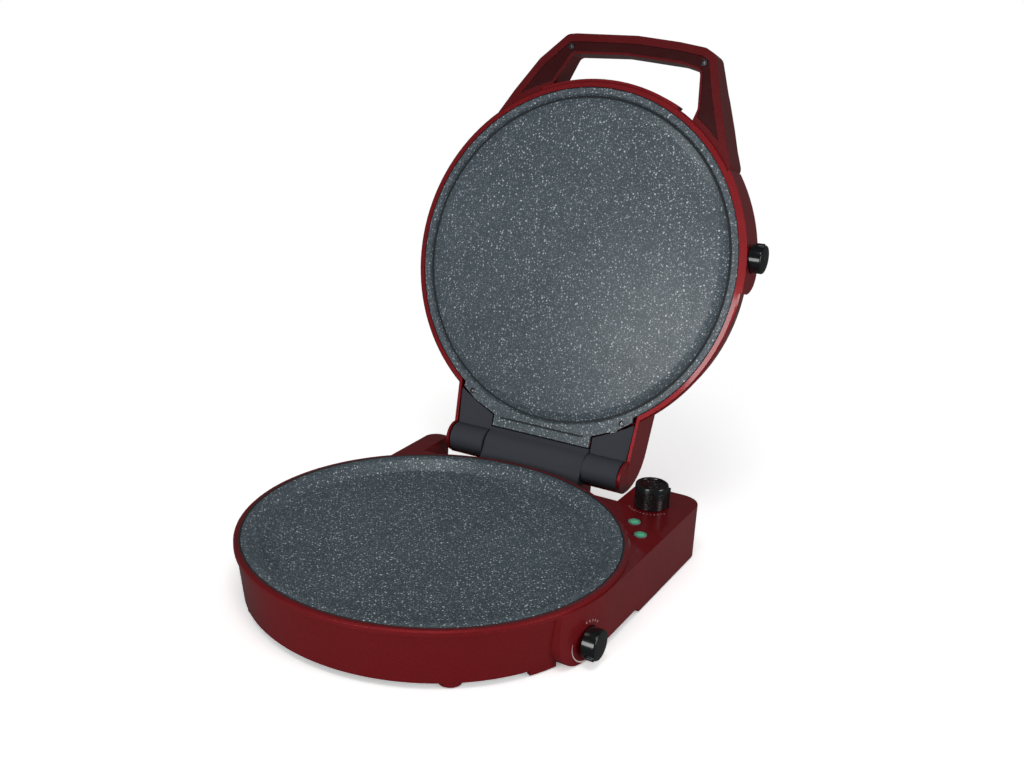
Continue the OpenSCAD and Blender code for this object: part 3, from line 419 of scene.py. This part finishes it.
class Workshop:
    """Turns bmesh shapes into finished pieces that ride on a body."""

    def __init__(self, space: Space, body: str) -> None:
        """Work in one frame, for one body.

        Args:
            space: the frame that pieces are drawn in.
            body: the CAD body they ride on.
        """
        self.space = space
        self.body = body

    def place(self, bm: bmesh.types.BMesh, name: str, finish: Finish, sharp: float = 32.0,
              replaces: Sequence[str] = ()) -> bpy.types.Object:
        """Finish a shape drawn in millimetres.

        Args:
            bm: the shape, freed afterwards.
            name: the piece's name.
            finish: its finish.
            sharp: angle above which an edge stays sharp.
            replaces: CAD nodes it stands for.

        Returns:
            The finished object.
        """
        bmesh.ops.remove_doubles(bm, verts=bm.verts, dist=WELD_MM)
        bmesh.ops.scale(bm, vec=Vector((MM, MM, MM)), verts=bm.verts)
        if self.space is Space.LID:
            bmesh.ops.transform(bm, matrix=lid_matrix(), verts=bm.verts)
        bmesh.ops.recalc_face_normals(bm, faces=bm.faces)
        return self.keep(bm, name, finish, sharp, replaces)

    def keep(self, bm: bmesh.types.BMesh, name: str, finish: Finish, sharp: float,
             replaces: Sequence[str]) -> bpy.types.Object:
        """Make the object of a shape already in place.

        Args:
            bm: the shape in metres, freed afterwards.
            name: the piece's name.
            finish: its finish.
            sharp: angle above which an edge stays sharp.
            replaces: CAD nodes it stands for.

        Returns:
            The object.
        """
        limit = math.radians(sharp)
        for face in bm.faces:
            face.smooth = True
        for edge in bm.edges:
            edge.smooth = edge.is_manifold and edge.calc_face_angle(0.0) < limit
        mesh = bpy.data.meshes.new(name)
        bm.to_mesh(mesh)
        bm.free()
        piece = bpy.data.objects.new(name, mesh)
        bpy.context.scene.collection.objects.link(piece)
        mesh.materials.append(finish.material())
        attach(piece, self.body)
        if replaces:
            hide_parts(*replaces)
        log.info("made %s with %d faces", name, len(mesh.polygons))
        return piece

    def copy_node(self, node: str, finish: Finish, sharp: float = 28.0,
                  bevel_mm: float = 0.0, tall_mm: float = 0.0) -> bpy.types.Object:
        """Merge and smooth a copy of a CAD node, which then stands for it.

        Args:
            node: the CAD node.
            finish: its finish.
            sharp: angle above which an edge stays sharp.
            bevel_mm: width of the rounded edges, or 0.
            tall_mm: width of the rounding along tall walls, or 0.

        Returns:
            The copy.
        """
        bm = bmesh.new()
        bm.from_mesh(frame["nodes"][node].data)
        bmesh.ops.remove_doubles(bm, verts=bm.verts, dist=WELD_M)
        bmesh.ops.dissolve_degenerate(bm, edges=bm.edges, dist=SLIVER_M)
        if bevel_mm:
            bmesh.ops.dissolve_limit(bm, angle_limit=math.radians(FLAT_DEG), verts=bm.verts,
                                     edges=bm.edges, delimit={"NORMAL"})
            self.weigh_edges(bm, math.radians(sharp), bevel_mm / max(bevel_mm, tall_mm))
        piece = self.keep(bm, node + "_shown", finish, sharp, (node,))
        if bevel_mm:
            mod = piece.modifiers.new("edges", "BEVEL")
            mod.width = max(bevel_mm, tall_mm) * MM
            mod.segments = 3 if tall_mm else 2
            mod.limit_method = "WEIGHT"
            mod.use_clamp_overlap = True
            mod.harden_normals = False
        return piece

    def weigh_edges(self, bm: bmesh.types.BMesh, limit: float, small: float) -> None:
        """Weigh sharp edges for the bevel: full at the front of tall walls.

        Args:
            bm: the shape in metres, in place.
            limit: angle above which an edge is sharp.
            small: weight of the other sharp edges.
        """
        layer = bm.edges.layers.float.new("bevel_weight_edge")
        back = lid_matrix().inverted() if self.body == "lid" else Matrix.Identity(4)
        height = {v: (back @ v.co).z for v in bm.verts}
        for edge in bm.edges:
            if not edge.is_manifold or edge.calc_face_angle(0.0) < limit:
                continue
            low, high = sorted(height[v] for v in edge.verts)
            tall = max(max(height[v] for v in face.verts) - min(height[v] for v in face.verts)
                       for face in edge.link_faces)
            level = high - low < LEVEL_M
            edge[layer] = 1.0 if level and tall > TALL_WALL_MM * MM else small


def revolve(points: Sequence[Point], steps: int = 180) -> bmesh.types.BMesh:
    """Spin a half section (radius, height) about the Z axis.

    Args:
        points: the section, in millimetres.
        steps: divisions of the turn.

    Returns:
        The closed shape.
    """
    bm = bmesh.new()
    verts = [bm.verts.new((r, 0.0, z)) for r, z in points]
    edges = [bm.edges.new(pair) for pair in zip(verts, verts[1:])]
    bmesh.ops.spin(bm, geom=verts + edges, cent=(0, 0, 0), axis=(0, 0, 1),
                   angle=math.tau, steps=steps, use_merge=True)
    bmesh.ops.remove_doubles(bm, verts=bm.verts, dist=SEAM_MM)
    return bm


def fillet(points: Sequence[Point], radii: Sequence[float], steps: int = 5) -> list[Point]:
    """Round the corners of an open line.

    Args:
        points: its corners.
        radii: rounding at each corner, 0 for none.
        steps: divisions of a rounding.

    Returns:
        The rounded line.
    """
    out: list[Point] = []
    for i, here in enumerate(points):
        radius = radii[i]
        if not radius or i in (0, len(points) - 1):
            out.append(here)
            continue
        p = Vector(here)
        a = Vector(points[i - 1]) - p
        b = Vector(points[i + 1]) - p
        half = a.angle(b) / 2
        cut = min(radius / math.tan(half), a.length * 0.49, b.length * 0.49)
        start, stop = p + a.normalized() * cut, p + b.normalized() * cut
        for k in range(steps + 1):
            t = k / steps
            point = start * (1 - t) ** 2 + p * 2 * t * (1 - t) + stop * t ** 2
            out.append((point.x, point.y))
    return out


def slab(outline: Iterable[Point], low: float, high: float) -> bmesh.types.BMesh:
    """Extrude an outline.

    Args:
        outline: its corners.
        low: lower height.
        high: upper height.

    Returns:
        The closed shape.
    """
    bm = bmesh.new()
    face = bm.faces.new([bm.verts.new((x, y, low)) for x, y in outline])
    grown = bmesh.ops.extrude_face_region(bm, geom=[face])
    top = [v for v in grown["geom"] if isinstance(v, bmesh.types.BMVert)]
    bmesh.ops.translate(bm, vec=(0, 0, high - low), verts=top)
    return bm


def drum(radius: float, height: float, round_mm: float, sides: int = 64) -> bmesh.types.BMesh:
    """A capped round drum on Z = 0, with a rounded top edge.

    Args:
        radius: its radius.
        height: its height.
        round_mm: rounding of the top edge.
        sides: divisions of the turn.

    Returns:
        The closed shape.
    """
    line: list[Point] = [(0.0, 0.0), (radius - 0.3, 0.0), (radius, 0.3)]
    for k in range(6):
        a = math.radians(90 * k / 5)
        line.append((radius - round_mm + round_mm * math.cos(a),
                     height - round_mm + round_mm * math.sin(a)))
    line.append((0.0, height))
    return revolve(line, sides)


def block(size: Sequence[float], centre: Sequence[float], round_mm: float,
          segments: int) -> bmesh.types.BMesh:
    """A box with rounded edges.

    Args:
        size: its lengths along X, Y and Z.
        centre: its middle.
        round_mm: width of the rounding.
        segments: divisions of the rounding.

    Returns:
        The closed shape.
    """
    bm = bmesh.new()
    bmesh.ops.create_cube(bm, size=1.0)
    bmesh.ops.scale(bm, vec=size, verts=bm.verts)
    bmesh.ops.translate(bm, vec=centre, verts=bm.verts)
    bmesh.ops.bevel(bm, geom=bm.edges[:], offset=round_mm, segments=segments, profile=0.5,
                    affect="EDGES", clamp_overlap=True, material=-1)
    return bm


def join(target: bmesh.types.BMesh, extra: bmesh.types.BMesh,
         matrix: Matrix = Matrix.Identity(4)) -> bmesh.types.BMesh:
    """Add one shape to another.

    Args:
        target: the shape that grows.
        extra: the added shape, freed afterwards.
        matrix: where it goes.

    Returns:
        The target.
    """
    bmesh.ops.transform(extra, matrix=matrix, verts=extra.verts)
    mesh = bpy.data.meshes.new("carrier")
    extra.to_mesh(mesh)
    extra.free()
    target.from_mesh(mesh)
    bpy.data.meshes.remove(mesh)
    return target


def screw_head(radius: float, height: float) -> bmesh.types.BMesh:
    """A low domed screw head on Z = 0.

    Args:
        radius: head radius.
        height: head height.

    Returns:
        The closed shape.
    """
    bm = bmesh.new()
    made = bmesh.ops.create_circle(bm, cap_ends=True, segments=32, radius=radius)
    face = made["verts"][0].link_faces[0]
    grown = bmesh.ops.extrude_face_region(bm, geom=[face])
    top = [v for v in grown["geom"] if isinstance(v, bmesh.types.BMVert)]
    bmesh.ops.translate(bm, vec=(0, 0, height), verts=top)
    cap = next(f for f in bm.faces if all(v in top for v in f.verts))
    bmesh.ops.inset_region(bm, faces=[cap], thickness=radius * 0.25, depth=height * 0.25)
    return bm


def cross_mark(radius: float, height: float) -> bmesh.types.BMesh:
    """The bright cross of a worn screw recess, to lie on a head.

    Args:
        radius: head radius.
        height: head height.

    Returns:
        The closed shape.
    """
    bm = bmesh.new()
    arm, wide, thick = radius * 0.55, radius * 0.11, 0.24
    top = Matrix.Translation((0, 0, height * 1.25))
    for turn in (0.0, 90.0):
        bar = block((arm * 2, wide * 2, thick), (0, 0, 0), 0.05, 1)
        join(bm, bar, top @ Matrix.Rotation(math.radians(turn), 4, "Z"))
    return bm


@dataclass
class Base:
    """Round base with its pan, rear deck and controls."""

    plate_r: float = PLATE_R
    slope_r: float = 158.0
    pan_r: float = FIELD_R
    pan_depth: float = 10.0
    pan_t: float = 2.6
    rim_gap: float = 0.2
    skirt: float = 5.5
    side_r: float = 172.5
    lenses: list[Point] = field(default_factory=lambda: [(138.0, 119.5), (153.0, 98.5)])
    timer_mark_r: float = 19.6
    timer_mark_count: int = 13
    timer_mark_start: float = -142.0
    timer_mark_step: float = 9.5
    mark_long: float = 2.2
    mark_short: float = 1.2
    mark_half: float = 0.22
    mark_high: float = 0.06
    dial_arc_r: float = 17.35
    dial_arc: tuple[float, float] = (168.0, 268.0)
    dial_arc_steps: int = 26
    dial_tick_r: tuple[float, float] = (16.6, 18.6)
    dial_tick_count: int = 5
    dial_tick_start: float = 46.0
    dial_tick_step: float = 13.0
    dial_tick_half: float = 1.2
    print_proud: float = 0.05
    print_back: tuple[float, float, float] = (-0.12, 0.02, 0.0)
    lens_r: float = 4.3
    lens_rim_r: float = 5.5
    lens_rim_h: float = 0.95
    shop: Workshop = field(default_factory=lambda: Workshop(Space.BASE, "base"))

    def build(self) -> None:
        """Make every piece of the base."""
        self.shop.copy_node("base_shell", RED, bevel_mm=0.5)
        self.pan()
        self.seam(RIM_Z)
        self.signal_lenses()
        self.timer_marks()
        self.dial_marks()

    def pan(self) -> None:
        """Coated pan with a rounded rim, slope and floor."""
        top, floor, t = RIM_Z, RIM_Z - self.pan_depth, self.pan_t
        low, outer = top - self.skirt, self.plate_r - self.rim_gap
        line = fillet(
            [(0, floor), (self.pan_r, floor), (self.slope_r - 1.5, top - 0.8),
             (self.slope_r, top), (outer, top), (outer, low),
             (self.plate_r - t, low), (self.plate_r - t, top - t),
             (self.slope_r, top - t), (self.pan_r, floor - t), (0, floor - t)],
            [0, 4.0, 1.0, 0.8, 0.9, 0.4, 0.3, 0.5, 0.5, 3.0, 0])
        self.shop.place(revolve(line), "pan_shown", PLATE, replaces=("lower_plate",))

    def seam(self, z: float) -> None:
        """Dark seal in the gap between the pan rim and the lip.

        Args:
            z: height of the pan rim.
        """
        r, low, high = self.plate_r, z - 2.0, z + 0.12
        inner, outer = r - self.rim_gap, r + 0.35
        ring = [(inner, low), (inner, z - 0.3), (r + 0.3, high), (r + 1.3, high),
                (r + 1.5, z - 0.1), (outer, z - 0.1), (outer, low), (inner, low)]
        self.shop.place(revolve(ring), "pan_seal", BLACK)

    def signal_lenses(self) -> None:
        """Green domes, each in a pale rim."""
        domes, rims = bmesh.new(), bmesh.new()
        for x, y in self.lenses:
            place = Matrix.Translation((x, y, DECK_Z))
            join(domes, revolve([*LENS_DOME, (self.lens_r, 0.5), (self.lens_r, 0.0)], 48), place)
            inner, outer, high = self.lens_r - 0.1, self.lens_rim_r, self.lens_rim_h
            ring = fillet([(inner, 0.0), (inner, high), (outer, high), (outer, 0.0)],
                          [0, 0.35, 0.45, 0])
            join(rims, revolve(ring, 48), place)
        self.shop.place(domes, "signal_domes", LENS, replaces=("lamp_lenses",))
        self.shop.place(rims, "signal_rims", RIM)

    def timer_marks(self) -> None:
        """Fine printed marks on the deck round the timer knob."""
        marks = bmesh.new()
        x, y, _ = joint_place("timer_turn")
        r, wide = self.timer_mark_r, self.mark_half
        for i in range(self.timer_mark_count):
            angle = math.radians(self.timer_mark_start + i * self.timer_mark_step)
            half = (self.mark_long if i % 3 == 0 else self.mark_short) / 2
            bar = slab([(-half, -wide), (half, -wide), (half, wide), (-half, wide)],
                       0.0, self.mark_high)
            spot = Matrix.Translation((x + r * math.cos(angle), y + r * math.sin(angle), DECK_Z))
            join(marks, bar, spot @ Matrix.Rotation(angle, 4, "Z"))
        self.shop.place(marks, "timer_marks", PRINT)

    def dial_marks(self) -> None:
        """Printed arc and marks round the base dial, laid on the curved side."""
        marks = bmesh.new()
        self._arc_band(marks, *self.dial_arc)
        for i in range(self.dial_tick_count):
            self._tick(marks, self.dial_tick_start + i * self.dial_tick_step)
        self.shop.place(marks, "dial_marks", PRINT, sharp=60.0)

    def _ring(self, angle: float, radius: float) -> Vector:
        """Point on a ring round the dial, a little proud of the curved side.

        Args:
            angle: place on the ring in degrees.
            radius: the ring's radius.

        Returns:
            The point.
        """
        a = math.radians(angle)
        dial = joint_place("lower_thermostat_turn")
        y = dial.y + radius * math.cos(a)
        proud = self.side_r + self.print_proud
        return Vector((math.sqrt(proud * proud - y * y), y, dial.z + radius * math.sin(a)))

    def _strip(self, bm: bmesh.types.BMesh, inner: list[Vector], outer: list[Vector]) -> None:
        """Thin closed band between two lines.

        Args:
            bm: the shape that grows.
            inner: one edge.
            outer: the other edge.
        """
        a = [bm.verts.new(p) for p in inner]
        b = [bm.verts.new(p) for p in outer]
        faces = [bm.faces.new((a[i], a[i + 1], b[i + 1], b[i])) for i in range(len(a) - 1)]
        grown = bmesh.ops.extrude_face_region(bm, geom=faces)
        moved = [v for v in grown["geom"] if isinstance(v, bmesh.types.BMVert)]
        bmesh.ops.translate(bm, vec=self.print_back, verts=moved)

    def _arc_band(self, bm: bmesh.types.BMesh, start: float, stop: float) -> None:
        """Arc that widens towards its end.

        Args:
            bm: the shape that grows.
            start: first angle in degrees.
            stop: last angle in degrees.
        """
        inner, outer = [], []
        for i in range(self.dial_arc_steps + 1):
            t = i / self.dial_arc_steps
            angle = start + (stop - start) * t
            half = 0.15 + 0.7 * t
            inner.append(self._ring(angle, self.dial_arc_r - half))
            outer.append(self._ring(angle, self.dial_arc_r + half))
        self._strip(bm, inner, outer)

    def _tick(self, bm: bmesh.types.BMesh, angle: float) -> None:
        """Short mark across the ring.

        Args:
            bm: the shape that grows.
            angle: its place on the ring in degrees.
        """
        ends = (angle - self.dial_tick_half, angle + self.dial_tick_half)
        inner, outer = ([self._ring(end, r) for end in ends] for r in self.dial_tick_r)
        self._strip(bm, inner, outer)


@dataclass
class Lid:
    """Round lid with its plate, handle and hinge covers."""

    groove: float = 3.5
    # Places in millimetres of the painted shade in the round groove and in the tongue's straight
    # groove
    groove_r: Point = (FIELD_R + 7.6, FIELD_R + 9.4)
    tongue_groove: Point = (45.9, 164.0)
    tongue_groove_end: float = 165.6
    head_r: float = 2.8
    head_h: float = 1.0
    tongue_seat: float = 1.0
    cover_seat: float = 2.8
    screws: list[Point] = field(default_factory=lambda: [(-82.6, 144.0), (82.6, 144.0)])
    cover_screws: list[Point] = field(
        default_factory=lambda: [(-37.5, -202.0), (97.0, -193.0)])
    shop: Workshop = field(default_factory=lambda: Workshop(Space.LID, "lid"))

    def build(self) -> None:
        """Make every piece of the lid."""
        self.shop.copy_node("lid_shell", RED, bevel_mm=0.5)
        # The handle and its cover get darker copies of the candy red: painted shade, not a
        # different paint
        self.shop.copy_node("handle", HANDLE_PAINTED_SHADE_RED, bevel_mm=0.4, tall_mm=1.7)
        self.shop.copy_node("handle_cover", COVER_PAINTED_SHADE_RED, bevel_mm=0.3)
        self.plate()
        self.shop.copy_node("hinge_cover_left", SLATE, bevel_mm=0.4)
        self.shop.copy_node("hinge_cover_right", SLATE, bevel_mm=0.4)
        self.screw_heads()

    def plate(self) -> None:
        """Coated lid plate: field, groove, rim and tongue, with painted shade laid in its
        grooves.
        """
        bm = bmesh.new()
        bm.from_mesh(frame["nodes"]["upper_plate"].data)
        bmesh.ops.remove_doubles(bm, verts=bm.verts, dist=WELD_M)
        self.shop.keep(bm, "lid_plate_shown", PLATE, 25.0, ("upper_plate",))
        # A thin dark ring in the round groove and a strip in the tongue's straight groove:
        # painted shade
        low, high = LID_Z + self.groove - 0.35, LID_Z + self.groove + 0.1
        inner, outer = self.groove_r
        ring = revolve([(inner, low), (outer, low), (outer, high), (inner, high), (inner, low)])
        x, near = self.tongue_groove
        far = self.tongue_groove_end
        straight = slab([(-x, near), (x, near), (x, far), (-x, far)], LID_Z + 0.5, LID_Z + 1.0)
        self.shop.place(join(ring, straight), "lid_groove_painted_shade", SHADE)

    def screw_heads(self) -> None:
        """Cross-head screws of the plate tongue and of the handle cover."""
        heads, marks = bmesh.new(), bmesh.new()
        flip = Matrix.Rotation(math.pi, 4, "X")
        seats = [(p, LID_Z + self.tongue_seat) for p in self.screws]
        seats += [(p, LID_Z + self.cover_seat) for p in self.cover_screws]
        for (x, y), z in seats:
            place = Matrix.Translation((x, y, z)) @ flip
            join(heads, screw_head(self.head_r, self.head_h), place)
            join(marks, cross_mark(self.head_r, self.head_h), place)
        self.shop.place(heads, "lid_screw_heads", DARK_STEEL)
        self.shop.place(marks, "lid_screw_marks", ZINC)


@dataclass
class Knobs:
    """The three control knobs."""

    side_r: float = 13.0
    side_h: float = 11.5
    side_round: float = 1.3
    rib_rise: float = 2.8
    rib_size: Point = (4.4, 4.6)
    rib_round: float = 0.8
    timer_r: float = 15.0
    timer_h: float = 22.0
    timer_bands: int = 9
    band_first: float = 1.6
    band_pitch: float = 1.75
    timer_rib: Point = (6.0, 5.0)
    timer_rib_drop: float = 3.6
    dish: float = 1.2
    side_backs: tuple[float, float] = (169.3, 170.4)
    upper_dial: Point = (-27.0, 73.5)
    side_turns: tuple[float, float] = (216.0, 205.0)
    timer_turn: float = 20.0

    def build(self) -> None:
        """Make the knobs on their bodies."""
        dial = joint_place("lower_thermostat_turn")
        base = Workshop(Space.BASE, "lower_dial")
        spot = Matrix.Translation((self.side_backs[0], dial.y, dial.z))
        base.place(self.side_knob(self.side_turns[0], spot), "lower_knob_shown", GLOSS,
                   replaces=("lower_knob",))
        lid = Workshop(Space.LID, "upper_dial")
        spot = Matrix.Translation((self.side_backs[1], *self.upper_dial))
        lid.place(self.side_knob(self.side_turns[1], spot), "upper_knob_shown", GLOSS,
                  replaces=("upper_knob",))
        timer = Workshop(Space.BASE, "timer_dial")
        timer.place(self.timer_knob(), "timer_knob_shown", GLOSS, replaces=("timer_knob",))

    def side_knob(self, turn: float, spot: Matrix) -> bmesh.types.BMesh:
        """Round knob with a raised grip rib, turned about X.

        Args:
            turn: turn of the rib in degrees.
            spot: where its back sits.

        Returns:
            The shape.
        """
        bm = drum(self.side_r, self.side_h, self.side_round)
        long = self.side_h - self.rib_rise - 0.5
        centre = (0, self.side_r - 0.7, self.rib_rise + long / 2)
        join(bm, block((*self.rib_size, long), centre, self.rib_round, 3))
        aim = Matrix.Rotation(math.radians(turn), 4, "X") @ Matrix.Rotation(
            math.radians(90), 4, "Y")
        bmesh.ops.transform(bm, matrix=spot @ aim, verts=bm.verts)
        return bm

    def timer_knob(self) -> bmesh.types.BMesh:
        """Tall knob with a dished top, fine bands and a pointer.

        Returns:
            The shape.
        """
        r, h = self.timer_r, self.timer_h
        line: list[Point] = [(0.0, 0.0), (r - 0.4, 0.0), (r, 0.4)]
        for i in range(self.timer_bands):
            z = self.band_first + i * self.band_pitch
            line += [(r, z - 0.2), (r - 0.28, z), (r, z + 0.2)]
        line += [(r, h - 2.0), (r - 0.4, h - 0.7), (r - 1.3, h), (r - 2.6, h), (r - 3.2, h - 0.5),
                 (r - 3.4, h - self.dish), (0.0, h - self.dish)]
        bm = revolve(line, 72)
        tall = h - self.timer_rib_drop
        centre = (r - 1.0, 0, tall / 2 + 0.1)
        join(bm, block((*self.timer_rib, tall), centre, self.rib_round, 3))
        join(bm, self.top_relief(h - self.dish))
        x, y, _ = joint_place("timer_turn")
        spot = Matrix.Translation((x, y, DECK_Z + 0.5))
        turn = Matrix.Rotation(math.radians(self.timer_turn), 4, "Z")
        bmesh.ops.transform(bm, matrix=spot @ turn, verts=bm.verts)
        return bm

    def top_relief(self, z: float) -> bmesh.types.BMesh:
        """Raised ring and pointer bar in the dished top of the timer knob.

        Args:
            z: height of the dish floor.

        Returns:
            The shape.
        """
        bm = revolve([(6.4, z - 0.2), (6.4, z + 0.45), (6.7, z + 0.6), (7.3, z + 0.6),
                      (7.6, z + 0.45), (7.6, z - 0.2), (6.4, z - 0.2)], 48)
        return join(bm, block((4.2, 1.4, 0.8), (4.4, 0, z + 0.2), 0.25, 2))


@dataclass
class Hinge:
    """Hinge block, with the parts that stay as the CAD has them."""

    shop: Workshop = field(default_factory=lambda: Workshop(Space.BASE, "base"))

    def build(self) -> None:
        """Make the hinge block."""
        self.shop.copy_node("hinge_block", SLATE, sharp=24.0, bevel_mm=0.8)


@dataclass
class CarriedOver:
    """CAD nodes that keep their own shape and get a finish."""

    finishes: dict[str, Finish] = field(default_factory=lambda: {
        "bottom_cover": BLACK, "cord_gland": BLACK, "rubber_feet": RUBBER,
        "lower_element": SHEATH, "upper_element": SHEATH,
        "lower_reflector": SHEET, "upper_reflector": SHEET,
        "lower_thermostat": CREAM, "upper_thermostat": CREAM, "terminal_block": CREAM,
        "neon_lamps": NEON, "base_wiring": WIRE, "lid_wiring": WIRE,
        "handle_screws": DARK_STEEL, "upper_plate_screws": DARK_STEEL})

    def build(self) -> None:
        """Dress each node that is still shown."""
        for name, node in frame["nodes"].items():
            finish = self.finishes.get(name, ZINC)
            node.data.materials.clear()
            node.data.materials.append(finish.material())
            log.info("dressed %s with %s", name, finish.name)


@dataclass
class Studio:
    """Pale floor, soft lights and the camera at the photographed angle."""

    place: tuple[float, float, float] = (0.49378, -0.77952, 0.51067)
    right: tuple[float, float, float] = (0.83143, 0.55557, 0.00855)
    up: tuple[float, float, float] = (-0.21204, 0.30302, 0.92910)
    lens: float = 41.41
    shift: Point = (0.0998, 0.0493)
    aim: tuple[float, float, float] = (0.0, 0.05, 0.12)
    diffuse_level: float = 0.45
    mirror_level: float = 0.06
    floor_r: float = 0.95
    floor_glow: float = 0.27
    floor_seen: float = 1.36
    floor_lit: float = 0.90
    floor_mirrored: float = 0.14
    lamps: dict[str, tuple[tuple[float, float, float], float, float]] = field(
        default_factory=lambda: {"front": ((-0.12, -1.6, 0.36), 0.7, 9.5),
                                 "right": ((1.6, 0.10, 0.36), 0.7, 8.0),
                                 "top": ((0.30, -0.50, 1.5), 0.5, 3.6)})

    def build(self) -> None:
        """Set the world, floor, lights and camera."""
        scene = bpy.context.scene
        scene.view_settings.view_transform = "Standard"
        self.world(scene)
        self.floor()
        for name, (spot, size, power) in self.lamps.items():
            self.light(name, spot, size, power)
        self.camera(scene)

    def world(self, scene: bpy.types.Scene) -> None:
        """Pale surroundings that light evenly, and dimmer in mirror images.

        Args:
            scene: the scene that gets them.
        """
        world = bpy.data.worlds.new("studio")
        world.use_nodes = True
        tree = world.node_tree
        shade = tree.nodes["Background"]
        shade.inputs["Color"].default_value = (1, 1, 1, 1)
        path = tree.nodes.new("ShaderNodeLightPath")
        level = self.remap(tree, path.outputs["Is Diffuse Ray"], self.mirror_level,
                           self.diffuse_level)
        seen = self.remap(tree, path.outputs["Is Camera Ray"], 0.0, 1.0)
        total = tree.nodes.new("ShaderNodeMath")
        total.operation = "ADD"
        total.use_clamp = True
        tree.links.new(level, total.inputs[0])
        tree.links.new(seen, total.inputs[1])
        tree.links.new(total.outputs[0], shade.inputs["Strength"])
        scene.world = world

    def remap(self, tree: bpy.types.NodeTree, value: bpy.types.NodeSocket, low: float,
              high: float) -> bpy.types.NodeSocket:
        """Map 0..1 to a pair of levels.

        Args:
            tree: the node tree.
            value: the input, 0 or 1.
            low: level at 0.
            high: level at 1.

        Returns:
            The level.
        """
        node = tree.nodes.new("ShaderNodeMapRange")
        node.inputs["To Min"].default_value = low
        node.inputs["To Max"].default_value = high
        tree.links.new(value, node.inputs[0])
        return node.outputs[0]

    def floor(self) -> None:
        """White floor that keeps the shadow."""
        bm = bmesh.new()
        bmesh.ops.create_circle(bm, cap_ends=True, segments=96, radius=self.floor_r)
        mesh = bpy.data.meshes.new("floor")
        bm.to_mesh(mesh)
        bm.free()
        floor = bpy.data.objects.new("floor", mesh)
        bpy.context.scene.collection.objects.link(floor)
        bench = NodeBench("floor_white")
        bench.put("Roughness", 0.9)
        bench.put("Specular IOR Level", 0.0)
        bench.put("Emission Color", (1, 1, 1, 1))
        path = bench.tree.nodes.new("ShaderNodeLightPath")
        glow = self.remap(bench.tree, path.outputs["Is Camera Ray"], 0.0, self.floor_glow)
        bench.link(glow, bench.shader.inputs["Emission Strength"])
        pale = bench.blend(path.outputs["Is Camera Ray"], (self.floor_lit,) * 3,
                           (self.floor_seen,) * 3)
        shade = bench.blend(path.outputs["Is Glossy Ray"], pale, (self.floor_mirrored,) * 3)
        bench.link(shade, bench.shader.inputs["Base Color"])
        mesh.materials.append(bench.material)

    def light(self, name: str, spot: tuple[float, float, float], size: float,
              power: float) -> None:
        """Add a soft square light aimed at the cooker.

        Args:
            name: its name.
            spot: its place.
            size: its side.
            power: its power in watts.
        """
        data = bpy.data.lights.new(name, "AREA")
        data.shape = "SQUARE"
        data.size = size
        data.energy = power
        lamp = bpy.data.objects.new(name, data)
        bpy.context.scene.collection.objects.link(lamp)
        lamp.location = spot
        aim = Vector(self.aim) - Vector(spot)
        lamp.rotation_euler = aim.to_track_quat("-Z", "Y").to_euler()

    def camera(self, scene: bpy.types.Scene) -> None:
        """Camera fitted to the photograph.

        Args:
            scene: the scene that looks through it.
        """
        data = bpy.data.cameras.new("view")
        data.sensor_width = 36.0
        data.lens = self.lens
        data.shift_x, data.shift_y = self.shift
        camera = bpy.data.objects.new("view", data)
        scene.collection.objects.link(camera)
        right, up = Vector(self.right).normalized(), Vector(self.up).normalized()
        back = right.cross(up)
        turn = Matrix((right, up, back)).transposed().to_4x4()
        camera.matrix_world = Matrix.Translation(self.place) @ turn
        scene.camera = camera


def main() -> None:
    """Dress the CAD nodes, then build the pieces in order."""
    logging.basicConfig(level=logging.INFO, format="%(name)s %(message)s")
    steps: list[Callable[[], None]] = [CarriedOver().build, Base().build, Hinge().build,
                                       Lid().build, Knobs().build, Studio().build]
    for step in steps:
        step()


if __name__ == "__main__":
    main()
